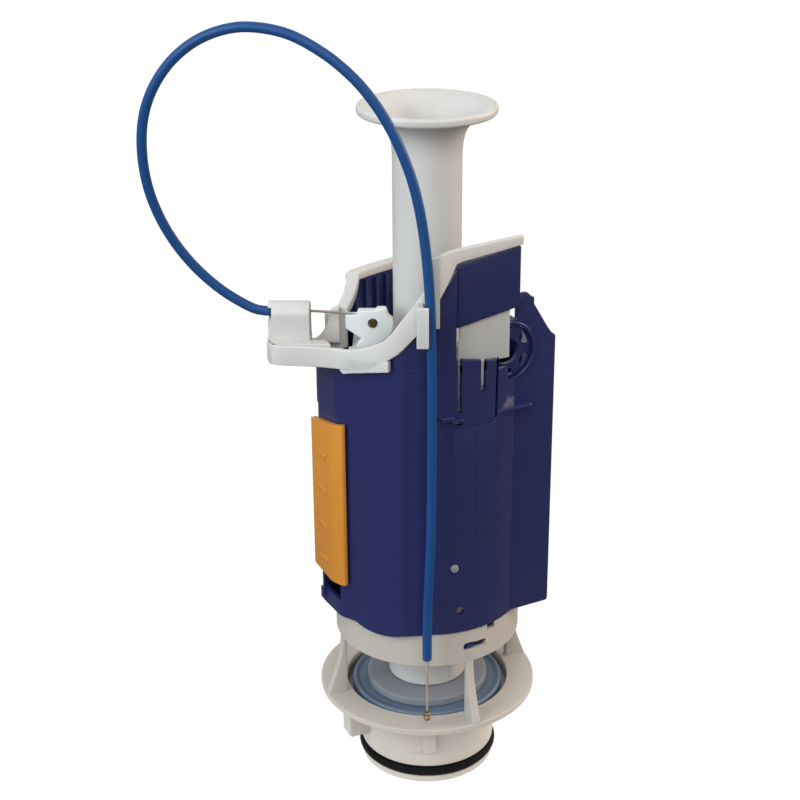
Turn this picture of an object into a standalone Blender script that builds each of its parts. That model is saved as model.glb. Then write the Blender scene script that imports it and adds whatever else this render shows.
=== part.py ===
"""Cable-operated cistern flush valve: seat, lifting overflow tube, housing, bell crank and cable.

Blender 4.5, metres, +Z up. Lengths below are written in millimetres and scaled by MM.
The origin is the centre of the outlet's bottom face. +X runs along the housing's side wing,
-Y is the front. The bracket, the crank and the cable are laid out in the lever frame, which is
the object frame turned by LEVER_TURN about Z: its x runs along the clamp arm, its -y is the front.
"""
from math import cos, pi, radians, sin

import bmesh
import bpy
from mathutils import Matrix, Vector

MM = 0.001
GAP = 0.3
ROUND = 56

# Seat casting
SPIGOT_R = 34.0
BORE_R = 29.0
FLANGE_R = 54.6
FLANGE_TOP = 45.0
WELL_R = 41.0
LIP_Z = 39.8
COLLAR_R = 46.0
COLLAR_INNER_R = 43.6
COLLAR_Z = (76.0, 93.7)
POST_TURNS = (-92.0, -7.0, 88.0, 173.0)
KEYHOLE_TURNS = (-90.0, 0.0, 90.0)
WEB_TURN = radians(41.0)
O_RING_R = (31.1, 35.3)
O_RING_Z = (3.9, 9.1)

# Moving stem
TUBE_R = 16.0
TUBE_BORE_R = 14.0
TUBE_BOTTOM = 34.0
TUBE_TOP = 341.0
RIM_R = 32.0
SEAL_R = 38.4
SEAL_Z = LIP_Z + GAP
SLEEVE_R = 19.6
SLEEVE_Z = (48.7, 104.0)
FLOAT_R = 39.5
FLOAT_Z = (104.3, 146.0)
LIFT_COLLAR_Z = (229.2, 233.0)
LIFT_COLLAR_R = 22.0

# Housing
SHELL_R = 47.0
WALL = 2.2
SHELL_Z = (94.0, 232.0)
FLAT_X = -51.0
FLAT_Y = (-5.0, 17.0)
CHIN = (-34.0, -37.0)
SHELL_ARC = (radians(-115.0), radians(152.0))
BACK_WALL_Z = (200.0, 252.5)
BACK_WALL_ENDS = ((18.6, 42.3), (-26.0, 31.0))
FRONT_RISE_BOTTOM = 228.0
WING_Y = (-40.4, -38.0)
SOCKET_CENTRE = (19.6, 232.0)
SOCKET_R = 13.0
SPIDER_Z = (180.0, 186.0)
COVER_X = (-9.0, 24.0)
COVER_Y = (-44.0, -31.0)
COVER_Z = (249.3, 278.2)
COVER_RISE = 0.15
COVER_FRONT_WALL = 1.2
TANK_FRONT_Y = (-42.4, -41.0)

# Volume slider
SLIDER_Z = (114.2, 192.8)
SLIDER_TOP_SLOPE = 0.18
SLIDER_CENTRE_Z = 150.0
STEM_Y = (3.0, 7.0)

# Crank and cable
LEVER_TURN = radians(-29.0)
PIVOT = (-31.5, 225.5)
PIVOT_PIN_R = 1.5
NIPPLE_AT = (-24.9, 244.5)
LEVER_Y = (-22.5, -17.5)
FORK_REACH = 31.0
FORK_Y = (17.2, 20.7)
CABLE_R = 2.25
WIRE_R = 0.6
SHEATH_END_Z = 87.0
END_SLEEVE_TOP = 98.0
FREE_END = (0.0, -57.2)

# The sheath's route in the lever frame, from the clamp block to the hollow end sleeve.
CABLE_ROUTE = [
    (-71.4, -20.0, 249.6), (-77.0, -20.0, 250.2), (-83.0, -20.0, 252.8), (-93.5, -20.5, 260.0),
    (-104.0, -21.5, 270.4), (-112.6, -23.0, 282.6), (-119.0, -25.0, 296.3), (-122.9, -27.0, 310.9),
    (-123.9, -29.2, 326.5), (-122.0, -31.5, 341.5), (-116.9, -33.7, 354.7), (-108.2, -36.0, 366.8),
    (-96.8, -38.5, 376.0), (-84.0, -41.0, 381.3), (-71.5, -43.3, 382.6), (-56.8, -46.0, 380.0),
    (-42.2, -48.5, 372.4), (-30.6, -50.4, 363.0), (-22.4, -51.6, 353.4), (-15.8, -52.5, 343.0),
    (-10.6, -53.0, 332.0), (-6.6, -53.4, 321.0), (-3.8, -53.6, 310.0), (-1.7, -53.7, 298.0),
    (-0.2, -53.8, 285.5), (0.9, -53.9, 272.0), (1.6, -54.0, 256.0), (2.0, -54.2, 238.0),
    (2.1, -54.7, 218.0), (2.1, -55.3, 196.0), (2.0, -56.0, 172.0), (1.6, -56.6, 148.0),
    (0.8, -57.0, 128.0), (0.2, -57.2, 112.0), (0.0, -57.2, 98.3),
]
LEVER_WIRE_ROUTE = [
    (-61.6, -20.0, 249.6), (-58.0, -20.0, 249.7), (-52.0, -20.0, 249.6), (-46.0, -20.0, 249.3),
    (-39.5, -20.0, 248.7), (-34.0, -20.0, 247.9), (-30.5, -20.0, 246.6), (-27.25, -20.0, 245.0),
]


def clear_scene():
    for obj in list(bpy.data.objects):
        bpy.data.objects.remove(obj)


def material(name, color, roughness, metallic=0.0):
    mat = bpy.data.materials.new(name)
    mat.use_nodes = True
    shader = mat.node_tree.nodes["Principled BSDF"]
    shader.inputs["Base Color"].default_value = (*color, 1.0)
    shader.inputs["Roughness"].default_value = roughness
    shader.inputs["Metallic"].default_value = metallic
    mat.diffuse_color = (*color, 1.0)
    return mat


def add_object(name, bm, mat=None, smooth=True):
    """Turn a bmesh in millimetres into a linked object in metres."""
    bmesh.ops.recalc_face_normals(bm, faces=bm.faces)
    bmesh.ops.scale(bm, vec=(MM, MM, MM), verts=bm.verts)
    mesh = bpy.data.meshes.new(name)
    bm.to_mesh(mesh)
    bm.free()
    if mat:
        mesh.materials.append(mat)
    if smooth:
        mesh.shade_smooth()
        mesh.set_sharp_from_angle(angle=radians(35.0))
    obj = bpy.data.objects.new(name, mesh)
    bpy.context.collection.objects.link(obj)
    return obj


def lathe_mesh(profile, segments=ROUND):
    """Revolve a closed (radius, z) outline about Z."""
    bm = bmesh.new()
    rings = []
    for radius, z in profile:
        if radius < 1e-6:
            rings.append([bm.verts.new((0.0, 0.0, z))])
            continue
        angles = [2.0 * pi * i / segments for i in range(segments)]
        rings.append([bm.verts.new((radius * cos(a), radius * sin(a), z)) for a in angles])
    for low, high in zip(rings, rings[1:] + rings[:1]):
        if len(low) == 1 and len(high) == 1:
            continue
        for i in range(segments):
            j = (i + 1) % segments
            corners = [low[i % len(low)], low[j % len(low)], high[j % len(high)], high[i % len(high)]]
            face = list(dict.fromkeys(corners))
            bm.faces.new(face)
    return bm


def prism_mesh(outline, z0, z1):
    """Extrude a flat (x, y) outline from z0 to z1."""
    bm = bmesh.new()
    low = [bm.verts.new((x, y, z0)) for x, y in outline]
    high = [bm.verts.new((x, y, z1)) for x, y in outline]
    bm.faces.new(low[::-1])
    bm.faces.new(high)
    for i in range(len(outline)):
        j = (i + 1) % len(outline)
        bm.faces.new((low[i], low[j], high[j], high[i]))
    return bm


def upright_mesh(outline, y0, y1):
    """Extrude an (x, z) outline from y0 to y1."""
    bm = prism_mesh(outline, y0, y1)
    for vert in bm.verts:
        x, z, y = vert.co
        vert.co = (x, y, z)
    return bm


def crosswise_mesh(outline, x0, x1):
    """Extrude a (y, z) outline from x0 to x1."""
    bm = prism_mesh(outline, x0, x1)
    for vert in bm.verts:
        y, z, x = vert.co
        vert.co = (x, y, z)
    return bm


def box_mesh(x, y, z):
    return prism_mesh([(x[0], y[0]), (x[1], y[0]), (x[1], y[1]), (x[0], y[1])], z[0], z[1])


def ribbon_mesh(stations, thickness):
    """A wall that follows stations of (x, y, lowest z, highest z), with mitred corners."""
    path = [Vector((x, y)) for x, y, _, _ in stations]
    bm = bmesh.new()
    sections = []
    for i, (x, y, z0, z1) in enumerate(stations):
        before = (path[i] - path[i - 1]).normalized() if i else None
        after = (path[i + 1] - path[i]).normalized() if i + 1 < len(path) else None
        along = ((before or after) + (after or before)).normalized()
        side = Vector((-along.y, along.x))
        edge = after or before
        half = 0.5 * thickness / max(0.5, abs(side.dot(Vector((-edge.y, edge.x)))))
        left, right = path[i] + side * half, path[i] - side * half
        sections.append([bm.verts.new((*right, z0)), bm.verts.new((*left, z0)),
                         bm.verts.new((*left, z1)), bm.verts.new((*right, z1))])
    bm.faces.new(sections[0][::-1])
    bm.faces.new(sections[-1])
    for a, b in zip(sections, sections[1:]):
        for i in range(4):
            j = (i + 1) % 4
            bm.faces.new((a[i], a[j], b[j], b[i]))
    return bm


def combine(base, pieces, operation="UNION"):
    """Join or cut pieces into base with exact Booleans, and keep the result as base's mesh."""
    for piece in pieces:
        mod = base.modifiers.new("Join", "BOOLEAN")
        mod.operation = operation
        mod.solver = "EXACT"
        mod.object = piece
    bpy.context.view_layer.update()
    evaluated = base.evaluated_get(bpy.context.evaluated_depsgraph_get())
    mesh = bpy.data.meshes.new_from_object(evaluated)
    base.modifiers.clear()
    base.data = mesh
    for piece in pieces:
        bpy.data.objects.remove(piece)
    mesh.shade_smooth()
    mesh.set_sharp_from_angle(angle=radians(35.0))
    return base


def turned(obj, angle, location=(0.0, 0.0, 0.0)):
    """Turn an object about Z and place its origin, given in millimetres."""
    obj.rotation_euler = (0.0, 0.0, angle)
    obj.location = Vector(location) * MM
    return obj


def spun(bm, angle):
    bmesh.ops.rotate(bm, verts=bm.verts, cent=(0, 0, 0), matrix=Matrix.Rotation(angle, 3, "Z"))
    return bm


def lever_point(x, y, z):
    """Object-frame millimetres of a point given in the lever frame."""
    return Matrix.Rotation(LEVER_TURN, 3, "Z") @ Vector((x, y, z))


def arc(radius, start, end, steps):
    angles = [start + (end - start) * i / steps for i in range(steps + 1)]
    return [(radius * cos(a), radius * sin(a)) for a in angles]


def circle(cx, cy, radius, steps):
    angles = [2 * pi * i / steps for i in range(steps)]
    return [(cx + radius * cos(a), cy + radius * sin(a)) for a in angles]


def cylinder_at(radius, z0, z1, segments=24):
    return prism_mesh(circle(0.0, 0.0, radius, segments), z0, z1)


def cylinder_mesh(radius, length, segments=24):
    """A solid cylinder about Z, centred on the origin."""
    return cylinder_at(radius, -0.5 * length, 0.5 * length, segments)


def lying(bm, x, y, z):
    """Turn a mesh about Z so that it lies along Y, and move it to (x, y, z)."""
    bmesh.ops.rotate(bm, verts=bm.verts, cent=(0, 0, 0), matrix=Matrix.Rotation(pi / 2, 3, "X"))
    bmesh.ops.translate(bm, verts=bm.verts, vec=(x, y, z))
    return bm


def wire_object(name, route, radius, mat, turn):
    """A filled tube along a smooth curve through hand-placed points."""
    points = smooth_route([Vector(p) for p in route], radius * 5.0)
    curve = bpy.data.curves.new(name, "CURVE")
    curve.dimensions = "3D"
    curve.bevel_depth = radius * MM
    curve.bevel_resolution = 2
    curve.use_fill_caps = True
    spline = curve.splines.new("POLY")
    spline.points.add(len(points) - 1)
    for target, point in zip(spline.points, points):
        target.co = (*(point * MM), 1.0)
    curve.materials.append(mat)
    obj = bpy.data.objects.new(name, curve)
    bpy.context.collection.objects.link(obj)
    return turned(obj, turn)


def smooth_route(points, spacing):
    """Catmull-Rom curve through the points, sampled at about the given spacing."""
    ends = [points[0] * 2 - points[1]] + points + [points[-1] * 2 - points[-2]]
    out = []
    for a, b, c, d in zip(ends, ends[1:], ends[2:], ends[3:]):
        steps = max(1, round((c - b).length / spacing))
        for i in range(steps):
            t = i / steps
            out.append(0.5 * (2 * b + (c - a) * t + (2 * a - 5 * b + 4 * c - d) * t * t
                              + (3 * b - a - 3 * c + d) * t * t * t))
    return out + [points[-1]]


# ---------------------------------------------------------------- seat and outlet

def make_seat(mat):
    profile = [(33.2, 0.0), (33.8, 0.8), (33.8, 3.4), (30.8, 3.6), (30.8, 9.4), (SPIGOT_R, 9.8),
               (34.8, 33.0), (43.6, 36.0), (43.6, 42.0), (FLANGE_R - 0.6, 42.0), (FLANGE_R, 42.6),
               (FLANGE_R, 44.4), (FLANGE_R - 0.6, FLANGE_TOP), (WELL_R, FLANGE_TOP), (WELL_R, 37.6),
               (34.6, 37.6), (33.2, LIP_Z), (31.8, LIP_Z), (30.4, 36.4), (BORE_R, 34.0), (BORE_R, 0.0)]
    seat = add_object("valve_seat_body", lathe_mesh(profile), mat)
    parts = [add_object("collar", lathe_mesh([(COLLAR_INNER_R, COLLAR_Z[0]), (COLLAR_R - 0.5, COLLAR_Z[0]),
                                              (COLLAR_R, COLLAR_Z[0] + 0.6), (COLLAR_R, COLLAR_Z[1]),
                                              (COLLAR_INNER_R, COLLAR_Z[1])]))]
    post = [(43.9, 43.0), (54.3, 43.0), (54.0, 46.0), (51.6, 53.0), (49.2, 60.0), (47.4, 67.0),
            (46.3, 74.0), (45.6, 80.0), (43.9, 80.0)]
    for turn in POST_TURNS:
        parts.append(add_object("post", spun(upright_mesh(post, -2.0, 2.0), radians(turn))))
    for i in range(2):
        web = box_mesh((-BORE_R - 1.0, BORE_R + 1.0), (-1.1, 1.1), (0.0, 9.0))
        parts.append(add_object("web", spun(web, WEB_TURN + i * pi / 2)))
    parts.append(add_object("hub", cylinder_at(6.0, 0.0, 9.0)))
    big_lug = [(32.0, 19.5), (44.3, 19.5), (45.5, 21.0), (45.5, 42.3), (42.0, 42.3), (42.0, 37.0),
               (32.0, 37.0)]
    for i in range(2):
        lug = upright_mesh(big_lug, -5.0, 5.0)
        parts.append(add_object("lug", spun(lug, radians(176.0) + i * pi)))
    boss = [(-3.4, 35.0), (-3.4, 24.0), (-2.4, 21.4), (-0.9, 20.4), (0.9, 20.4), (2.4, 21.4),
            (3.4, 24.0), (3.4, 35.0)]
    for turn in (-122.6, 57.4):
        for side in (-3.3, 3.3):
            bump = crosswise_mesh([(y + side, z) for y, z in boss], 32.0, 37.6)
            parts.append(add_object("boss", spun(bump, radians(turn))))
    combine(seat, parts)
    slots = []
    for turn in KEYHOLE_TURNS:
        keyhole = box_mesh((40.0, 50.0), (-5.2, 7.7), (82.6, 86.4))
        slots.append(add_object("slot", spun(keyhole, radians(turn))))
        notch = box_mesh((40.0, 50.0), (8.2, 13.2), (90.4, 95.0))
        slots.append(add_object("notch", spun(notch, radians(turn))))
    combine(seat, slots, "DIFFERENCE")
    return seat


def make_o_ring(mat):
    (r0, r1), (z0, z1) = O_RING_R, O_RING_Z
    section = [(0.5 * (r0 + r1) + 0.5 * (r1 - r0) * x, 0.5 * (z0 + z1) + 0.5 * (z1 - z0) * z)
               for x, z in circle(0.0, 0.0, 1.0, 10)]
    return add_object("outlet_o_ring", lathe_mesh(section), mat)


# ---------------------------------------------------------------- moving stem

def make_tube(mat):
    flare = [(TUBE_R, 318.0), (16.6, 324.0), (18.4, 329.5), (22.0, 333.6), (27.0, 335.8), (30.6, 336.4),
             (RIM_R, 337.6), (RIM_R, 339.6), (31.2, TUBE_TOP), (28.0, TUBE_TOP), (22.4, 337.6),
             (18.0, 333.0), (15.4, 326.0), (TUBE_BORE_R, 316.0)]
    profile = [(TUBE_BORE_R, TUBE_BOTTOM), (TUBE_R, TUBE_BOTTOM)] + flare
    return add_object("overflow_tube", lathe_mesh(profile), mat)


def make_stem_parts(white, grey, rubber):
    bore = TUBE_R + GAP
    seal = [(bore, SEAL_Z), (SEAL_R - 0.6, SEAL_Z), (SEAL_R, SEAL_Z + 0.6), (SEAL_R, 43.4), (37.6, 44.2),
            (36.2, 44.2), (35.2, 43.0), (bore, 43.0)]
    add_object("valve_seal", lathe_mesh(seal), rubber)
    washer = [(bore, 43.3), (30.5, 43.3), (30.5, 46.7), (29.8, 47.4), (21.5, 48.4), (bore, 48.4)]
    add_object("seal_clamp_washer", lathe_mesh(washer), grey)
    nut = add_object("seal_backing_nut", lathe_mesh([(bore, 34.4), (24.0, 34.4), (26.5, 36.0),
                                                     (26.5, 39.8), (bore, 39.8)]), white)
    notches = [add_object("notch", spun(box_mesh((22.5, 28.0), (-2.0, 2.0), (30.0, 36.6)), i * pi / 3))
               for i in range(6)]
    combine(nut, notches, "DIFFERENCE")
    low, high = SLEEVE_Z
    sleeve = [(bore, low), (SLEEVE_R, low), (SLEEVE_R, high - 1.0), (SLEEVE_R - 0.8, high), (bore, high)]
    add_object("stem_sleeve", lathe_mesh(sleeve), white)
    cup = [(bore, FLOAT_Z[0]), (FLOAT_R - 3.0, FLOAT_Z[0]), (FLOAT_R, FLOAT_Z[0] + 3.0),
           (FLOAT_R, FLOAT_Z[1] - 3.0), (FLOAT_R - 3.0, FLOAT_Z[1]), (bore, FLOAT_Z[1])]
    add_object("main_float", lathe_mesh(cup), grey)
    ring = [(bore, FLOAT_Z[1] + GAP), (20.5, FLOAT_Z[1] + GAP), (20.5, 150.6), (19.6, 151.4), (bore, 151.4)]
    add_object("float_lock_ring", lathe_mesh(ring, 36), white)
    collar = [(bore, LIFT_COLLAR_Z[0]), (LIFT_COLLAR_R, LIFT_COLLAR_Z[0]), (LIFT_COLLAR_R, 231.4),
              (18.6, LIFT_COLLAR_Z[1]), (bore, LIFT_COLLAR_Z[1])]
    add_object("lift_collar", lathe_mesh(collar, 36), white)


# ---------------------------------------------------------------- housing

def shell_outline(inset):
    """Plan outline of the shell, counter-clockwise, moved in by the wall thickness."""
    radius = SHELL_R - inset
    left = FLAT_X + inset
    shift = inset * 0.75
    return arc(radius, *SHELL_ARC, 44) + [
        (left, FLAT_Y[1] - shift), (left, FLAT_Y[0] + shift * 0.4),
        (CHIN[0] + shift, CHIN[1] + inset * 0.9)]


def front_rises():
    """Stations of the two raised parts of the shell's front wall, left of and below the side cover."""
    left = [(-21.4, -41.3, 231.8), (-11.6, -47.5, 240.0), (-5.0, -46.7, 247.6), (0.0, -46.2, 250.9)]
    stations = []
    for x, y, top in left:
        point = lever_point(x, y, top)
        stations.append((point.x, point.y, FRONT_RISE_BOTTOM, top))
    radius = SHELL_R - 0.5 * WALL
    tops = (262.0, 268.0, 271.6, 277.4)
    upper = arc(radius, radians(-115.0), radians(-102.8), 3)
    stations += [(x, y, FRONT_RISE_BOTTOM, top) for (x, y), top in zip(upper, tops)]
    lower = arc(radius, radians(-104.0), radians(-69.0), 8)
    step = []
    for x, y in lower:
        along = x - lower[0][0]
        step.append((x, y, FRONT_RISE_BOTTOM, 235.5 - 0.11 * along - 0.0036 * along * along))
    return stations, step


def make_housing(mat):
    shell = add_object("valve_housing", prism_mesh(shell_outline(0.0), *SHELL_Z), mat)
    core = add_object("core", prism_mesh(shell_outline(WALL), SHELL_Z[0] + WALL, SHELL_Z[1] + 10.0))
    throat = add_object("throat", cylinder_at(40.2, SHELL_Z[0] - 2.0, SHELL_Z[0] + 5.0, ROUND))
    combine(shell, [core, throat], "DIFFERENCE")
    skirt = add_object("skirt", lathe_mesh([(40.8, 80.0), (COLLAR_INNER_R - GAP, 80.0),
                                            (COLLAR_INNER_R - GAP, 95.2), (40.8, 95.2)]))
    joins = [skirt]
    (x0, y0), (x1, y1) = BACK_WALL_ENDS
    low, high = BACK_WALL_Z
    back_wall = [(x0, y0, low, high), (x1, y1, low, high), (-37.8, 23.7, low, 237.0),
                 (-49.6, 16.4, low, SHELL_Z[1] - 0.5)]
    joins.append(add_object("back_wall", ribbon_mesh(back_wall, WALL)))
    joins += [add_object("front_rise", ribbon_mesh(stations, WALL)) for stations in front_rises()]
    wing = [(23.2, 94.6), (46.0, 94.6), (46.0, 235.6), (43.6, 237.2), (41.4, 240.4), (33.8, 252.8),
            (33.8, 256.0), (31.6, 257.2), (30.4, 258.8), (27.6, 259.0), (26.0, 257.6), (24.4, 257.4),
            (24.4, 247.0), (3.5, 247.0), (3.5, 214.0), (23.2, 214.0)]
    joins.append(add_object("wing", upright_mesh(wing, *WING_Y)))
    for turn in KEYHOLE_TURNS:
        lug = box_mesh((42.0, 45.4), (-3.4, 1.2), (83.4, 85.6))
        joins.append(add_object("lug", spun(lug, radians(turn))))
    cheek = spun(box_mesh((-34.5, -28.5), (11.4, 21.0), (219.0, 231.0)), LEVER_TURN)
    left_tab = [(-19.0, -42.3), (-19.4, -48.6), (-12.8, -49.6), (-12.6, -44.4)]
    low_tab = [(-13.6, -44.2), (-13.6, -48.6), (-8.0, -49.2), (-8.0, -45.4)]
    joins += [add_object("cheek", cheek),
              add_object("side_lug", box_mesh((-52.6, -50.0), (11.0, 14.0), (96.6, 103.0))),
              add_object("left_tab", prism_mesh(left_tab, 207.6, 209.3)),
              add_object("low_tab", prism_mesh(low_tab, 205.6, 207.2)),
              add_object("right_tab", box_mesh((12.0, 31.5), (-45.5, -39.0), (204.0, 205.8)))]
    combine(shell, joins)
    cuts = [add_object("socket", lying(cylinder_mesh(SOCKET_R + GAP, 8.0, 36), SOCKET_CENTRE[0],
                                       -39.2, SOCKET_CENTRE[1])),
            add_object("socket_side", box_mesh((15.0, 29.0), (-50.0, -41.5), (219.6, 240.0))),
            add_object("slot_a", box_mesh((-9.7, -7.6), (-49.0, -42.0), (209.5, 240.0))),
            add_object("slot_b", box_mesh((1.9, 4.9), (-49.0, -43.9), (219.2, 240.0))),
            add_object("slot_b_end", lying(cylinder_mesh(1.5, 6.0, 20), 3.4, -47.0, 219.2)),
            add_object("slot_c", box_mesh((10.2, 11.8), (-49.0, -41.0), (203.0, 222.0))),
            add_object("window", box_mesh((-55.0, -46.0), (-4.6, 13.0), (104.4, 113.0))),
            add_object("slider_slot", box_mesh((-55.0, -46.0), (2.4, 7.6), (124.0, 184.0)))]
    pin_hole = spun(lying(cylinder_mesh(PIVOT_PIN_R + GAP, 8.0, 20), PIVOT[0], 12.0, PIVOT[1]), LEVER_TURN)
    cuts.append(add_object("pin_hole", pin_hole))
    for x, z, radius in ((-10.4, 129.4, 2.4), (-7.3, 106.1, 2.1)):
        cuts.append(add_object("hole", lying(cylinder_mesh(radius, 8.0, 20), x, -45.8, z)))
    combine(shell, cuts, "DIFFERENCE")
    return shell


def make_housing_fittings(white, navy):
    spider = add_object("tube_guide_spider", lathe_mesh([(TUBE_R + 0.5, SPIDER_Z[0]), (19.0, SPIDER_Z[0]),
                                                         (19.0, SPIDER_Z[1]), (TUBE_R + 0.5, SPIDER_Z[1])]),
                        white)
    arms = [add_object("arm", spun(box_mesh((18.0, SHELL_R - WALL - GAP), (-1.5, 1.5), SPIDER_Z), a))
            for a in (radians(90.0), radians(-35.0), radians(-80.0))]
    combine(spider, arms)
    disc = add_object("bayonet_socket_disc", lying(cylinder_mesh(SOCKET_R, 2.6, 36), SOCKET_CENTRE[0], -39.3,
                                                   SOCKET_CENTRE[1]), navy)
    cuts = [add_object("eye", lying(cylinder_mesh(5.0, 6.0, 20), SOCKET_CENTRE[0], -39.3, SOCKET_CENTRE[1]))]
    for i in range(6):
        angle = pi / 6 + i * pi / 3
        slot = circle(SOCKET_CENTRE[0] + 9.4 * cos(angle), SOCKET_CENTRE[1] + 9.4 * sin(angle), 1.9, 12)
        cuts.append(add_object("slot", upright_mesh(slot, -43.0, -36.0)))
    combine(disc, cuts, "DIFFERENCE")
    front = [(-7.5, 230.0), (19.5, 230.0), (19.5, 262.0), (-6.6, 262.0), (-6.6, 244.0), (-7.5, 242.0)]
    plate = add_object("inner_tank_front", upright_mesh(front, *TANK_FRONT_Y), white)
    tongues = [box_mesh((-6.8, 7.6), (-43.2, -41.0), (204.0, 231.5)),
               box_mesh((-10.6, -8.7), (-43.2, -41.0), (204.0, 231.5)),
               box_mesh((-10.6, 7.6), (-43.2, -41.0), (204.0, 208.6))]
    combine(plate, [add_object("tongue", bm) for bm in tongues])
    make_cover(navy)
    peg = lathe_mesh([(0.0, 42.0), (3.2, 42.0), (3.2, 43.6), (2.1, 43.8), (2.1, 47.6), (1.5, 48.2),
                      (0.0, 48.2)], 20)
    bmesh.ops.rotate(peg, verts=peg.verts, cent=(0, 0, 0), matrix=Matrix.Rotation(pi / 2, 3, "X"))
    bmesh.ops.translate(peg, verts=peg.verts, vec=(-10.4, 1.2, 129.4))
    add_object("snap_peg", peg, white)


def make_cover(mat):
    """Hood over the inner tank's wall, open below and behind; its top and bottom rise to the right."""
    (x0, x1), (y0, y1), (z0, z1) = COVER_X, COVER_Y, COVER_Z
    outside = [(y0, z0), (y1, z0), (y1, z1 - 2.6), (y1 - 5.0, z1), (y0, z1)]
    inside = [(y0 + COVER_FRONT_WALL, z0 - 8.0), (y1 + 2.0, z0 - 8.0), (y1 + 2.0, z1 - 5.6),
              (y1 - 5.6, z1 - 1.8), (y0 + COVER_FRONT_WALL, z1 - 1.8)]
    bodies = [crosswise_mesh(outside, x0, x1), crosswise_mesh(inside, x0 + 1.4, x1 - 1.4)]
    for bm in bodies:
        for vert in bm.verts:
            vert.co.z += COVER_RISE * (vert.co.x - x0)
    cover = add_object("side_cover", bodies[0], mat)
    combine(cover, [add_object("hollow", bodies[1])], "DIFFERENCE")


def make_slider(mat):
    """Flush volume slider; its origin is on the line that it slides along."""
    z0, z1 = SLIDER_Z[0] - SLIDER_CENTRE_Z, SLIDER_Z[1] - SLIDER_CENTRE_Z
    plan = [(-3.6, -4.0), (-3.6, 15.0), (-3.0, 16.5), (-GAP, 16.8), (-GAP, -5.6), (1.8, -10.2), (1.3, -11.0),
            (-0.6, -11.0), (-2.3, -8.0)]
    body = prism_mesh(plan, z0, z1)
    for vert in body.verts:
        if vert.co.z > 0.0:
            vert.co.z += SLIDER_TOP_SLOPE * (plan[3][1] - vert.co.y)
    slider = add_object("flush_volume_slider", body, mat)
    stem_z = (-10.0, 10.0)
    parts = [add_object("stem", box_mesh((-1.0, 3.2), STEM_Y, stem_z)),
             add_object("keeper", box_mesh((2.6, 4.4), (0.0, 10.0), (stem_z[0] - 2.0, stem_z[1] + 2.0)))]
    for i in range(4):
        z = 28.8 - 18.4 * i
        parts.append(add_object("mark", box_mesh((-4.2, -3.0), (-1.5, 11.5), (z - 0.7, z + 0.7))))
    combine(slider, parts)
    slider.location = Vector((FLAT_X, 0.0, SLIDER_CENTRE_Z)) * MM
    return slider


# ---------------------------------------------------------------- bracket, clamp and crank

def make_bracket(mat):
    """The white top bracket, in the lever frame."""
    band = [(-72.0, -20.0, 229.4, 237.4), (-71.8, -28.4, 228.2, 237.4), (-68.6, -31.8, 227.8, 237.4),
            (-62.0, -32.6, 227.8, 237.4), (-42.0, -34.6, 227.6, 237.2), (-30.0, -41.4, 229.0, 239.4),
            (-20.0, -46.6, 234.2, 244.6),
            (-12.0, -48.8, 240.4, 254.4), (-5.0, -49.4, 248.0, 264.0), (-1.4, -49.4, 251.2, 269.3),
            (2.2, -49.4, 251.8, 284.0), (5.7, -49.4, 252.0, 285.6), (6.1, -49.2, 266.8, 285.8),
            (9.0, -47.4, 272.0, 287.0), (11.5, -45.6, 277.0, 287.0), (13.5, -44.0, 280.0, 287.0),
            (42.3, -28.0, 284.2, 288.5)]
    bracket = add_object("top_bracket", ribbon_mesh(band, 2.6), mat)
    strip = [(-39.4, -13.0, 244.4, 248.9), (-37.4, -6.0, 246.6, 251.0), (-35.9, 1.3, 248.8, 253.0),
             (-35.2, 8.0, 251.2, 255.4), (-35.0, 12.6, 252.9, 256.9), (-34.4, 15.4, 252.9, 257.2),
             (-22.6, 28.2, 252.9, 257.2), (-5.6, 43.6, 252.9, 257.2)]
    gusset = [(-60.0, 232.4), (-40.5, 232.4), (-40.5, 249.4), (-42.1, 249.4), (-45.2, 246.4),
              (-45.7, 243.7), (-46.9, 239.5), (-49.2, 235.9), (-51.7, 233.8), (-60.0, 233.4)]
    parts = [ribbon_mesh(strip, 5.8),
             upright_mesh(gusset, -16.0, -12.4),
             ribbon_mesh([(-39.4, -35.6, 225.4, 234.0), (-30.0, -41.4, 227.8, 234.0),
                          (-17.0, -48.6, 231.0, 236.0)], 2.4),
             prism_mesh([(-72.6, -31.5), (-43.6, -31.0), (-46.5, -25.0), (-53.4, -25.0), (-53.4, -12.6),
                         (-72.6, -12.6)], 227.9, 237.4),
             prism_mesh([(-60.0, -26.0), (-46.8, -26.0), (-46.8, -12.6), (-60.0, -12.6)], 232.4, 233.4),
             prism_mesh([(-47.5, -9.4), (-47.5, -11.6), (-46.3, -13.0), (-44.5, -13.6), (-40.2, -13.6),
                         (-38.2, -13.0), (-37.0, -11.6), (-37.0, -9.4)], 228.4, 246.0),
             box_mesh((-50.0, -38.0), (-34.0, -29.6), (232.4, 235.6)),
             box_mesh((-36.0, -27.0), (-26.6, -24.0), (221.0, 236.0)),
             prism_mesh([(-36.0, -37.2), (-27.0, -42.0), (-27.0, -24.0), (-36.0, -24.0)], 232.6, 236.0),
             prism_mesh([(-4.6, -48.8), (-4.6, -58.4), (0.8, -58.4), (0.8, -56.7), (-1.6, -56.7),
                         (-1.6, -48.8)], 245.0, 264.4)]
    combine(bracket, [add_object("piece", bm) for bm in parts])
    pin_hole = lying(cylinder_mesh(PIVOT_PIN_R + GAP, 60.0, 20), PIVOT[0], -4.0, PIVOT[1])
    combine(bracket, [add_object("pin_hole", pin_hole)], "DIFFERENCE")
    return turned(bracket, LEVER_TURN)


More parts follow.
